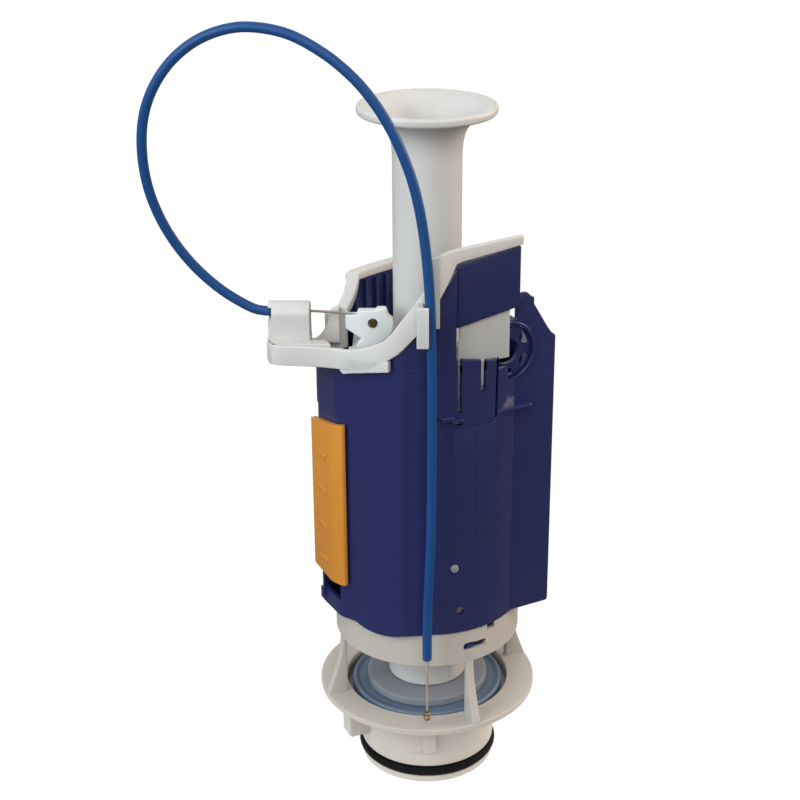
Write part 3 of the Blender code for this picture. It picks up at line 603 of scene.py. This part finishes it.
def shell_mesh():
    """The open-topped shell: a tray with rounded rims, whose lower edge hangs in a curve on the flat face."""
    ease = 0.5
    loops = [(ease, BELLY, SHELL_LOW), (0.0, BELLY, SHELL_LOW + ease), (0.0, 0.7 * BELLY, SHELL_LOW + 30.0),
             (0.0, 0.0, SHELL_TOP - ease), (ease, 0.0, SHELL_TOP), (WALL - ease, 0.0, SHELL_TOP),
             (WALL, 0.0, SHELL_TOP - ease), (WALL, 0.0, SHELL_LOW + WALL)]
    bm = bmesh.new()
    rings = [[bm.verts.new((x, y, z)) for x, y in shell_outline(inset, belly)] for inset, belly, z in loops]
    flat = FLAT_ENDS[1] - FLAT_ENDS[0]
    for vert in rings[0] + rings[1]:
        away = vert.co.to_2d() - FLAT_ENDS[0]
        on_flat_side = away.dot(FLAT_OUT) > -5.0
        if on_flat_side:
            vert.co.z -= EDGE_DROP * swell(away.dot(flat) / flat.length_squared)
    for low, high in zip(rings, rings[1:]):
        for i in range(len(low)):
            j = (i + 1) % len(low)
            bm.faces.new((low[i], low[j], high[j], high[i]))
    bm.faces.new(rings[0][::-1])
    bm.faces.new(rings[-1])
    bmesh.ops.recalc_face_normals(bm, faces=bm.faces)
    return bm


def panel_patch(start, end, z0, z1, proud):
    """A raised patch on the shell's arc, between two angles in degrees."""
    first, last = radians(start), radians(end)
    steps = max(4, int((end - start) / 1.5))
    outline = arc(SHELL_R + proud, first, last, steps) + arc(SHELL_R - 0.8, last, first, steps)
    return prism(outline, z0, z1, 0.12)


def front_rises():
    """Stations of the two raised parts of the shell's front wall, left of and below the side cover."""
    left = [(-21.4, -41.3, 231.8), (-16.4, -44.6, 235.6), (-11.6, -47.3, 240.0), (-8.0, -47.0, 244.4),
            (-5.0, -46.7, 247.6), (0.0, -46.2, 250.9)]
    stations = []
    for x, y, top in left:
        point = lever_point(x, y, top)
        stations.append((point.x, point.y, 228.0, top))
    radius = SHELL_R - 0.5 * WALL
    tops = (262.0, 266.0, 268.0, 269.8, 271.6, 274.4, 277.4)
    upper = arc(radius, radians(-115.0), radians(-102.8), 6)
    stations += [(x, y, 228.0, top) for (x, y), top in zip(upper, tops)]
    lower = arc(radius, radians(-104.0), radians(-69.0), 24)
    step = []
    for x, y in lower:
        along = x - lower[0][0]
        step.append((x, y, 228.0, 235.5 - 0.11 * along - 0.0036 * along * along))
    return stations, step


def front_slits():
    """Cutters for the slots in the shell's front wall and the gap in front of the bayonet socket."""
    return [block((-9.7, -7.6), (-49.0, -42.0), (209.5, 240.0), 0.0),
            block((1.9, 4.9), (-49.0, -43.9), (219.2, 240.0), 0.0),
            lying(rod(1.5, 6.0, 32), 3.4, -47.0, 219.2),
            upright([(10.2, 203.0), (11.6, 203.0), (12.6, 240.0), (10.9, 240.0)], -49.0, -41.0),
            block((12.4, 29.0), (-50.0, -41.5), (226.4, 240.0), 0.0)]


def socket_hole():
    return lying(rod(SOCKET_R + 0.3, 8.0, 64), SOCKET[0], WING_MIDDLE, SOCKET[1])


def shell_holes():
    """Cutters for the shell's outlet, its bayonet socket, the slider's windows and the round holes."""
    return [prism(circle(0.0, 0.0, 40.2, 96), SHELL_LOW - 2.0, SHELL_LOW + 5.0),
            socket_hole(),
            lying(rod(6.4, 20.0, 48), SOCKET[0], -36.0, SOCKET[1]),
            lying(rod(1.7, 8.0, 24), -8.6, -46.0, 204.6),
            block((-55.0, -46.0), (-4.6, 13.0), (103.0, 113.0), 0.0),
            block((-55.0, -46.0), (2.4, 7.6), (124.0, 184.0), 0.0),
            lying(rod(2.4, 8.0, 32), PEG_AT[0], -45.8, PEG_AT[1]),
            lying(rod(2.1, 8.0, 32), -7.3, -45.8, 106.1)]


def shell_parts():
    """The cut shell with its raised front walls, the faint panel lines and the inner foot ring."""
    upper, step = front_rises()
    return [carve(shell_mesh(), shell_holes() + front_slits()),
            ribbon(upper, WALL, 0.5, 1.5),
            carve(ribbon(step, WALL, 0.4, None), front_slits()),
            panel_patch(-90.0, -76.0, 140.0, 201.0, 0.28),
            panel_patch(-104.0, -90.0, 140.0, 201.0, 0.16),
            lathe(eased([(40.8, 80.0), (43.3, 80.0), (43.3, 95.6), (40.8, 95.6)], 0.4))]


def back_wall():
    """The straight wall behind the tube and its fall to the far left, both ribbed on the inside."""
    back = [(*BACK_RIGHT, 200.0, 252.5), (-4.0, 36.6, 200.0, 252.5), (*BACK_LEFT, 200.0, 252.5)]
    left = [(*BACK_LEFT, 200.0, 251.0), (-29.0, 29.2, 200.0, 244.0), (-37.8, 23.7, 200.0, 233.0),
            (*FAR_LEFT, 200.0, 229.5)]
    parts = [ribbon(back, WALL, 0.4, None), ribbon(left, WALL, 0.4, None)]
    for i in range(7):
        at = BACK_LEFT.lerp(BACK_RIGHT, (i + 0.5) / 7)
        rib = block((-0.5, 0.5), (-2.2, 0.4), (186.0, 251.0), 0.2)
        parts.append(moved(turn_z(rib, BACK_RIB_TURN), at.x, at.y - 0.6, 0.0))
    for i in range(4):
        along = (i + 0.5) / 4
        at = FAR_LEFT.lerp(BACK_LEFT, along)
        rib = block((-0.5, 0.5), (-1.9, 0.2), (205.0, 227.0 + 14.0 * along ** 3), 0.2)
        parts.append(moved(turn_z(rib, LEFT_RIB_TURN), at.x, at.y, 0.0))
    return parts


def side_wing():
    """The flat wing at the right, with the raised ring round its bayonet socket."""
    outline = [(23.2, 94.6), (46.0, 94.6, 1.5), (46.0, 235.6, 1.5), (43.6, 237.2, 1.5), (41.4, 240.4, 1.5),
               (33.8, 252.8, 0.6), (33.8, 256.0, 0.6), (31.6, 257.2, 1.0), (30.4, 258.8, 1.5),
               (27.6, 259.0, 1.5), (26.0, 257.6, 1.0), (24.4, 257.4), (24.4, 247.0), (3.5, 247.0),
               (3.5, 214.0), (23.2, 214.0)]
    ring = [(SOCKET_R + 0.2, -1.2), (SOCKET_R + 1.7, -1.2), (SOCKET_R + 1.7, 1.8), (SOCKET_R + 0.2, 1.8)]
    return [carve(upright(eased(outline, 0.6), *WING_Y, 0.5), [socket_hole()]),
            lying(lathe(eased(ring, 0.5), 96), SOCKET[0], WING_Y[0] + 0.4, SOCKET[1])]


def shell_tabs():
    """The cheek that holds the crank's pin, a side lug, the front tabs and the lugs in the keyholes."""
    left = eased([(-19.0, -42.3), (-19.4, -48.6), (-12.8, -49.6), (-12.6, -44.4)], 0.8)
    low = eased([(-13.6, -44.2), (-13.6, -48.6), (-8.0, -49.2), (-8.0, -45.4)], 0.8)
    right = eased([(12.0, -39.0), (12.0, -45.5), (30.5, -45.5), (31.5, -44.0), (31.5, -39.0)], 0.8)
    cheek = block((-34.5, -28.5), (11.4, 21.0), (219.0, 231.0), 0.5)
    tabs = [turn_z(cheek, LEVER_TURN),
            block((-52.6, -50.0), (11.0, 14.0), (96.6, 103.0), 0.5),
            prism(left, 207.6, 209.3, 0.4),
            prism(low, 205.6, 207.2, 0.4),
            prism(right, 204.0, 205.8, 0.4)]
    for turn in KEYHOLE_TURNS:
        tabs.append(turn_z(block((42.0, 45.4), (-3.4, 1.2), (83.4, 85.6), 0.3), radians(turn)))
    return tabs


def make_housing(mat):
    parts = shell_parts() + back_wall() + side_wing() + shell_tabs()
    piece("housing_shell", joined(parts), mat, "base", ["valve_housing"])


def make_cover(mat):
    low, high = span("side_cover")
    rise = 0.15
    bottom, top = low.z, high.z - rise * (high.x - low.x)
    front, back = low.y, high.y
    outside = [(front, bottom), (back, bottom), (back, top - 2.6, 1.5), (back - 5.0, top, 1.5), (front, top)]
    inside = [(front + 1.2, bottom - 8.0), (back + 2.0, bottom - 8.0), (back + 2.0, top - 5.6),
              (back - 5.6, top - 1.8), (front + 1.2, top - 1.8)]
    box = soften(crosswise(eased(outside, 0.0), low.x, high.x), 0.8, 4)
    hollow = crosswise(inside, low.x + 1.4, high.x - 1.4)
    for bm in (box, hollow):
        for vert in bm.verts:
            vert.co.z += rise * (vert.co.x - low.x)
    piece("cover_box", carve(box, [hollow]), mat, "base", ["side_cover"])


def make_socket_disc(mat):
    cx, cz = SOCKET
    disc = lying(rod(SOCKET_R, 1.6, 96, 0.3), cx, WING_MIDDLE, cz)
    cuts = [lying(rod(6.2, 6.0, 48), cx, WING_MIDDLE, cz)]
    for i in range(6):
        middle = pi / 6 + i * pi / 3
        ends = (middle - radians(19.0), middle + radians(19.0))
        lens = arc(12.0, *ends, 10) + arc(8.6, ends[1] - radians(8.0), ends[0] + radians(8.0), 6)
        cuts.append(upright([(cx + x, cz + z) for x, z in lens], -43.0, -36.0))
    lip = [(6.1, -1.3), (7.1, -1.3), (7.1, 0.6), (6.1, 0.6)]
    web = carve(disc, cuts)
    hub = lying(lathe(eased(lip, 0.3), 64), cx, WING_MIDDLE, cz)
    piece("socket_disc", joined([web, hub]), mat, "base", ["bayonet_socket_disc"])


def make_inner_tank(mat):
    front = [(-7.5, 230.0), (19.5, 230.0), (19.5, 262.0), (-6.6, 262.0), (-6.6, 244.0), (-7.5, 242.0)]
    parts = [upright(eased(front, 0.3), -42.4, -41.0, 0.3),
             block((-6.8, 7.6), (-43.2, -41.2), (204.0, 231.5), 0.3),
             block((2.2, 4.6), (-45.2, -42.0), (220.0, 230.6), 0.6),
             block((-9.5, -8.6), (-44.4, -42.0), (214.0, 232.0), 0.2),
             block((-10.6, -8.7), (-43.2, -41.0), (204.0, 231.5), 0.2),
             block((-10.6, 7.6), (-43.2, -41.1), (204.0, 208.6), 0.3)]
    piece("tank_front", joined(parts), mat, "base", ["inner_tank_front"])


def make_peg(mat):
    profile = [(0.0, 42.0), (3.2, 42.0), (3.2, 43.6), (2.1, 43.8), (2.1, 47.0), (1.9, 47.6), (1.4, 48.0),
               (0.7, 48.2), (0.0, 48.2)]
    peg = lying(lathe(profile, 40), PEG_AT[0], 1.2, PEG_AT[1])
    piece("peg", peg, mat, "base", ["snap_peg"])


def make_slider(mat):
    low, high = span("flush_volume_slider")
    plan = [(-3.6, -4.0, 3.0), (-3.6, 15.0, 1.6), (-3.0, 16.5), (-0.3, 16.8), (-0.3, -5.6), (1.8, -10.2),
            (1.3, -11.0), (-0.6, -11.0, 1.0), (-2.3, -8.0, 2.0)]
    body = prism([(FLAT_X + x, y) for x, y in eased(plan, 0.3, 5)], low.z, high.z - 5.0, 0.9)
    for vert in body.verts:
        if vert.co.z > low.z + 10.0:
            drop = max(0.0, vert.co.y - 11.0) ** 2 * 0.05
            vert.co.z += 1.0 + 0.17 * (16.8 - vert.co.y) - 0.4 * drop
        elif vert.co.y > 9.0:
            vert.co.z += (vert.co.y - 9.0) ** 2 * 0.06
    stem = block((FLAT_X - 1.0, FLAT_X + 3.2), (3.0, 7.0), (140.0, 160.0), 0.2)
    keeper = block((FLAT_X + 2.6, FLAT_X + 4.4), (0.0, 10.0), (138.0, 162.0), 0.3)
    parts = [body, stem, keeper]
    for i in range(4):
        z = 178.8 - 18.4 * i
        parts.append(block((FLAT_X - 4.1, FLAT_X - 3.0), (2.0, 9.0), (z - 1.0, z + 1.0), 0.5))
        parts.append(block((FLAT_X - 4.3, FLAT_X - 3.0), (0.4, 3.2), (z - 1.6, z + 1.2), 0.6))
    piece("volume_slider", joined(parts), mat, "volume_slider", ["flush_volume_slider"])


# ---------------------------------------------------------------- bracket, clamp and crank

PIVOT = (-31.5, 225.5)
PIN_R, PIN_LENGTH = 1.3, 41.5
NIPPLE_AT = (-24.9, 244.5)
LEVER_Y = (-22.5, -17.5)
FORK_Y = (17.2, 20.7)


def bracket_walls():
    """The band that rises from the clamp to the front, its rail, the back strip and the band's lower lip."""
    band = [(-72.0, -20.0, 229.4, 237.4), (-72.2, -25.0, 228.6, 237.4), (-71.0, -29.6, 228.0, 237.4),
            (-67.0, -31.8, 227.8, 237.4), (-58.0, -32.8, 227.8, 237.4), (-50.0, -33.6, 227.7, 237.3),
            (-42.0, -35.2, 227.6, 237.2), (-35.6, -38.0, 227.9, 237.6), (-30.0, -41.4, 229.0, 239.4),
            (-25.0, -44.2, 231.2, 241.8), (-20.0, -46.6, 234.2, 244.6), (-16.0, -48.0, 237.2, 248.8),
            (-12.0, -48.8, 240.6, 254.4), (-8.4, -49.2, 244.4, 259.2), (-5.0, -49.4, 248.2, 264.0),
            (-1.4, -49.4, 251.3, 269.3), (0.6, -49.4, 251.6, 277.0), (2.2, -49.4, 251.8, 284.0),
            (3.8, -49.4, 252.0, 285.0), (5.6, -49.4, 252.0, 285.6)]
    rail = [(5.2, -49.5, 265.6, 285.6), (6.6, -49.0, 268.4, 286.2), (8.5, -47.8, 272.2, 286.8),
            (10.3, -46.5, 275.8, 287.0), (11.4, -45.6, 278.4, 287.0), (12.4, -44.9, 280.4, 287.0),
            (15.0, -43.2, 281.0, 287.2), (24.0, -38.2, 282.0, 287.6), (33.0, -33.2, 283.0, 288.1),
            (42.3, -28.0, 284.2, 288.5)]
    strip = [(-39.4, -13.0, 244.4, 248.9), (-37.4, -6.0, 246.6, 251.0), (-35.9, 1.3, 248.8, 253.0),
             (-35.2, 8.0, 251.2, 255.4), (-35.0, 12.6, 252.9, 256.9), (-34.4, 15.4, 252.9, 257.2),
             (-22.6, 28.2, 252.9, 257.2), (-5.6, 43.6, 252.9, 257.2)]
    lip = [(-39.2, -35.8, 227.2, 234.0), (-37.8, -36.6, 225.6, 234.0), (-35.0, -38.3, 226.4, 234.0),
           (-30.0, -41.4, 227.8, 234.0), (-17.0, -48.6, 231.0, 236.0)]
    return [ribbon(band, 2.6, 0.9), ribbon(rail, 2.6, 0.8, None), ribbon(strip, 5.8, 1.2),
            ribbon(lip, 2.4, 0.6)]


def bracket_arm():
    """The arm below the clamp: gusset, floor, a thin web over it, and the post that carries the strip."""
    gusset = [(-60.0, 232.4), (-40.5, 232.4), (-40.5, 249.4), (-42.1, 249.4, 1.5), (-44.4, 248.4, 1.5),
              (-45.4, 245.4, 2.0), (-45.7, 243.0, 2.0), (-46.9, 239.5, 2.0), (-49.2, 235.9, 2.0),
              (-51.7, 233.8, 1.0), (-60.0, 233.4)]
    floor = [(-72.6, -31.5, 3.0), (-43.6, -31.0), (-46.5, -25.0), (-53.4, -25.0, 0.3), (-53.4, -12.6),
             (-72.6, -12.6)]
    web = [(-60.0, -26.0), (-46.8, -26.0), (-46.8, -12.6), (-60.0, -12.6)]
    post = [(-47.5, -9.4), (-47.5, -11.6), (-46.3, -13.0), (-44.5, -13.6), (-40.2, -13.6), (-38.2, -13.0),
            (-37.0, -11.6), (-37.0, -9.4)]
    return [upright(eased(gusset, 0.5), -16.0, -12.4, 0.5),
            prism(eased(floor, 1.2), 227.9, 237.4, 0.8),
            prism(web, 232.4, 233.4),
            prism(eased(post, 1.4), 228.4, 246.0, 0.8)]


def bracket_cheek():
    """The blocks behind the band that hold the front end of the crank's pin."""
    shelf = [(-36.0, -37.2), (-27.0, -42.0), (-27.0, -24.0), (-36.0, -24.0)]
    return [block((-50.0, -38.0), (-34.0, -29.6), (232.4, 235.6), 1.0),
            block((-36.0, -27.0), (-26.6, -24.0), (221.0, 233.4), 0.6),
            prism(eased(shelf, 0.5), 230.6, 233.8, 0.5)]


def bracket_clip():
    """The hook that guides the sheath at the front, and the plate on its left side."""
    plate = [(-58.2, 247.0, 1.5), (-56.8, 245.2, 1.5), (-48.8, 245.2), (-48.8, 264.0), (-58.0, 264.0)]
    hook = [(-4.6, -48.8), (-4.6, -58.4), (0.8, -58.4), (0.8, -56.7), (-1.6, -56.7), (-1.6, -48.8)]
    return [crosswise(eased(plate, 0.8), -4.4, -1.7, 0.3), prism(eased(hook, 0.6), 245.6, 264.4, 0.9)]


def make_bracket(mat):
    parts = bracket_walls() + bracket_arm() + bracket_cheek() + bracket_clip()
    piece("bracket", joined(parts), mat, "base", ["top_bracket"], LEVER_TURN)


def make_clamp(white, brass):
    side = [(-13.0, 236.4), (-26.0, 236.4), (-26.0, 250.4, 1.5), (-23.6, 253.4, 1.5), (-20.0, 254.8, 2.0),
            (-16.4, 253.4, 1.5), (-13.0, 250.0)]
    bore = rod(2.0, 30.0, 32)
    bmesh.ops.rotate(bore, verts=bore.verts, cent=(0, 0, 0), matrix=Matrix.Rotation(pi / 2, 3, "Y"))
    recess = block((-74.0, -70.9), (-30.0, -17.0), (246.8, 252.6), 0.0)
    bm = carve(crosswise(eased(side, 0.6), -72.6, -53.6, 0.8), [moved(bore, -62.0, -20.0, 249.8), recess])
    piece("clamp_block", bm, white, "base", ["cable_clamp_block"], LEVER_TURN)
    pin = lying(rod(PIN_R, PIN_LENGTH, 32, 0.2), PIVOT[0], -6.0, PIVOT[1])
    piece("pivot_pin", pin, brass, "base", ["crank_pivot_pin"], LEVER_TURN)


def make_crank(white, brass):
    head = [(-37.3, 242.0), (-30.2, 237.0), (-35.4, 229.4), (-36.0, 225.5), (-34.6, 222.3), (-31.5, 221.3),
            (-25.0, 221.3), (-22.0, 224.0), (-21.0, 235.4), (-18.0, 237.5), (-15.6, 241.6), (-15.6, 246.0),
            (-17.6, 247.7), (-18.8, 251.3), (-22.9, 251.3), (-23.4, 250.3), (-31.5, 250.3), (-32.1, 248.3),
            (-37.3, 248.3)]
    px, pz = PIVOT
    nx, nz = NIPPLE_AT
    slot = [(nx - 1.6, nz - 1.4), (nx + 1.4, nz + 1.2), (nx - 2.0, nz + 8.0), (nx - 16.0, nz + 8.0),
            (nx - 16.0, nz - 1.6)]
    plate = carve(upright(eased(head, 0.5), *LEVER_Y, 0.5),
                  [lying(rod(2.3, 12.0, 32), nx, -20.0, nz), upright(slot, -21.1, -18.9),
                   lying(rod(PIN_R + 0.2, 60.0, 32), px, 0.0, pz)])
    tine_x = (px + 8.0, px + 31.0)
    fork_z = (pz - 2.5, pz + 2.5)
    arms = [block((px - 3.6, px + 9.0), (-20.0, 10.9), (pz - 3.2, pz + 3.2), 0.5),
            block((px + 8.0, px + 12.0), (-FORK_Y[1], FORK_Y[1]), fork_z, 0.5),
            block(tine_x, FORK_Y, fork_z, 0.6),
            block(tine_x, (-FORK_Y[1], -FORK_Y[0]), fork_z, 0.6)]
    piece("crank", joined([plate] + arms), white, "crank", ["bell_crank"], LEVER_TURN)
    barrel = lathe(eased([(0.0, -3.0), (2.0, -3.0), (2.0, 3.0), (0.0, 3.0)], 0.4), 40)
    bmesh.ops.scale(barrel, verts=barrel.verts, vec=(0.75, 1.0, 1.0))
    barrel = lying(barrel, nx, -20.2, nz)
    piece("lever_nipple", barrel, brass, "crank", ["lever_wire_nipple"], LEVER_TURN)


# ---------------------------------------------------------------- cable

def curve_piece(name, points, radius, mat, resolution):
    """A filled tube along points, given in millimetres of the object frame."""
    curve = bpy.data.curves.new(name, "CURVE")
    curve.dimensions = "3D"
    curve.bevel_depth = radius * MM
    curve.bevel_resolution = resolution
    curve.use_fill_caps = True
    spline = curve.splines.new("POLY")
    spline.points.add(len(points) - 1)
    for target, point in zip(spline.points, points):
        target.co = (*(point * MM), 1.0)
    spline.use_smooth = True
    curve.materials.append(mat)
    return linked(name, curve)


def make_cable(blue, steel, brass):
    points = [lever_point(*p) for p in CABLE_ROUTE]
    sheath = curve_piece("sheath", smooth_route(points, 2.5), CABLE_R, blue, 8)
    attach(sheath, "base")
    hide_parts("cable_sheath")
    end = lever_point(*FREE_END, 0.0)
    tip = [(1.1, SHEATH_END_Z), (CABLE_R, SHEATH_END_Z), (CABLE_R, 98.2), (1.1, 98.2)]
    end_piece = piece("sheath_end", moved(lathe(eased(tip, 0.3), 48), end.x, end.y, 0.0), blue, "base",
                      ["cable_sheath_end"])
    wire = prism(circle(end.x, end.y, WIRE_R, 24), 58.0, 97.0)
    wire_piece = piece("free_wire_core", wire, steel, "free_cable_end", ["free_wire"])
    barrel = [(0.0, 53.0), (1.0, 53.0), (1.3, 53.4), (1.85, 54.4), (1.85, 54.9), (1.2, 55.8), (1.5, 56.2),
              (1.5, 56.8), (0.95, 57.4), (0.9, 58.1), (0.0, 58.1)]
    nipple = piece("end_nipple", moved(lathe(barrel, 40), end.x, end.y, 0.0), brass, "free_cable_end",
                   ["free_end_nipple"])
    inner = [lever_point(*p) for p in LEVER_WIRE_ROUTE]
    pulled = curve_piece("lever_wire_core", smooth_route(inner, 1.5), WIRE_R, steel, 4)
    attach(pulled, "pull_wire")
    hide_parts("lever_wire")


# ---------------------------------------------------------------- stage

FLOOR_R = 0.13
LIGHTS_AIM = (0.0, 0.0, 0.18)


def make_floor():
    """A small disc under the valve that glows nearly as white as the backdrop and shows only faint shadow."""
    mat = bpy.data.materials.new("floor")
    mat.use_nodes = True
    shader = mat.node_tree.nodes["Principled BSDF"]
    shader.inputs["Base Color"].default_value = (0.25, 0.25, 0.25, 1.0)
    shader.inputs["Roughness"].default_value = 0.7
    shader.inputs["Specular IOR Level"].default_value = 0.1
    shader.inputs["Emission Color"].default_value = (1.0, 1.0, 1.0, 1.0)
    shader.inputs["Emission Strength"].default_value = 0.80
    bm = bmesh.new()
    bmesh.ops.create_circle(bm, cap_ends=True, segments=96, radius=FLOOR_R)
    mesh = bpy.data.meshes.new("floor")
    bm.to_mesh(mesh)
    bm.free()
    mesh.materials.append(mat)
    linked("floor", mesh)


def make_world():
    """A plain white backdrop for the camera, and a dimmer room with a dark floor for everything else."""
    world = bpy.data.worlds.new("studio")
    world.use_nodes = True
    tree = world.node_tree
    backdrop = tree.nodes["Background"]
    backdrop.inputs["Color"].default_value = (1.0, 1.0, 1.0, 1.0)
    backdrop.inputs["Strength"].default_value = 1.02
    room = tree.nodes.new("ShaderNodeBackground")
    room.inputs["Strength"].default_value = 0.80
    ramp = tree.nodes.new("ShaderNodeValToRGB")
    ramp.color_ramp.elements[0].position = 0.42
    ramp.color_ramp.elements[0].color = (0.22, 0.20, 0.18, 1.0)
    ramp.color_ramp.elements[1].position = 0.56
    ramp.color_ramp.elements[1].color = (0.96, 0.97, 1.0, 1.0)
    place = tree.nodes.new("ShaderNodeTexCoord").outputs["Generated"]
    axes = tree.nodes.new("ShaderNodeSeparateXYZ")
    node_link(tree, place, axes.inputs["Vector"])
    height = tree.nodes.new("ShaderNodeMapRange")
    height.inputs["From Min"].default_value = -1.0
    node_link(tree, axes.outputs["Z"], height.inputs["Value"])
    node_link(tree, height.outputs["Result"], ramp.inputs["Fac"])
    node_link(tree, ramp.outputs["Color"], room.inputs["Color"])
    choice = tree.nodes.new("ShaderNodeMixShader")
    node_link(tree, tree.nodes.new("ShaderNodeLightPath").outputs["Is Camera Ray"], choice.inputs["Fac"])
    node_link(tree, room.outputs["Background"], choice.inputs[1])
    node_link(tree, backdrop.outputs["Background"], choice.inputs[2])
    node_link(tree, choice.outputs["Shader"], tree.nodes["World Output"].inputs["Surface"])
    bpy.context.scene.world = world


def add_light(name, at, size, power, color):
    """A square soft light aimed at the valve's middle; places and size in metres, power in watts."""
    data = bpy.data.lights.new(name, "AREA")
    data.size = size
    data.energy = power
    data.color = color
    light = linked(name, data)
    light.location = at
    aim = Vector(LIGHTS_AIM) - light.location
    light.rotation_euler = aim.to_track_quat("-Z", "Y").to_euler()


def make_stage():
    make_floor()
    make_world()
    add_light("key", (-1.2, -0.30, 0.75), 0.8, 13.0, (0.74, 0.87, 1.0))
    add_light("warm", (1.2, -0.30, 0.60), 0.5, 10.0, (1.0, 0.82, 0.68))
    add_light("front", (-0.45, -0.95, 1.15), 0.5, 5.0, (1.0, 0.98, 0.95))
    bpy.context.scene.view_settings.view_transform = "Standard"


def main():
    make_camera()
    blue = plastic("blue_extruded", (0.008, 0.056, 0.180), 0.40, grain=0.03, spread=0.06, gleam=0.25)
    steel = metal("steel", (0.40, 0.34, 0.26), 0.38, 900.0)
    brass = metal("brass", (0.17, 0.12, 0.06), 0.38)
    make_cable(blue, steel, brass)
    white = plastic("white_moulded", (0.58, 0.56, 0.52), 0.42, spread=0.03, bleed=0.2, gleam=0.4)
    # Painted shade: the seat gets a darker, warmer copy of the white plastic, which stands in for the shade
    # under the housing and the flange.
    warm = plastic("shaded_seat_white", (0.465, 0.42, 0.36), 0.42, spread=0.03, bleed=0.2, gleam=0.4)
    # Painted light: the crank gets a brighter copy of the white plastic, which makes up for the shade it sits
    # in between the bracket's arm and the shell.
    lit_crank_white = plastic("lit_crank_white_moulded", (0.68, 0.685, 0.655), 0.42, spread=0.03, bleed=0.2, gleam=0.4)
    # Painted shade: the tank front inside the housing gets a darker copy of the white plastic. It is also a
    # little rougher.
    shaded_tank_white = plastic("shaded_tank_white_moulded", (0.44, 0.435, 0.415), 0.5, spread=0.03, bleed=0.15, gleam=0.35)
    grey = plastic("grey_moulded", (0.20, 0.21, 0.23), 0.45, spread=0.05)
    navy = plastic("navy_moulded", (0.014, 0.019, 0.086), 0.27, grain=0.03, ripple=0.03, spread=0.08)
    ochre = plastic("ochre_moulded", (0.57, 0.225, 0.028), 0.40, spread=0.06, bleed=0.1, gleam=0.35)
    rubber = plastic("seal_silicone", (0.095, 0.140, 0.195), 0.45, grain=0.08, spread=0.08)
    black = plastic("o_ring_rubber", (0.003, 0.003, 0.003), 0.6, grain=0.1, spread=0.2, gleam=0.08)
    make_seat(warm)
    make_o_ring(black)
    make_tube(white)
    make_stem_parts(white, grey, rubber)
    make_housing(navy)
    make_cover(navy)
    make_socket_disc(navy)
    make_inner_tank(shaded_tank_white)
    make_peg(grey)
    make_slider(ochre)
    make_bracket(white)
    make_clamp(white, brass)
    make_crank(lit_crank_white, brass)
    for node in ("seal_backing_nut", "float_lock_ring", "tube_guide_spider"):
        finish_node(node, white)
    make_stage()


main()
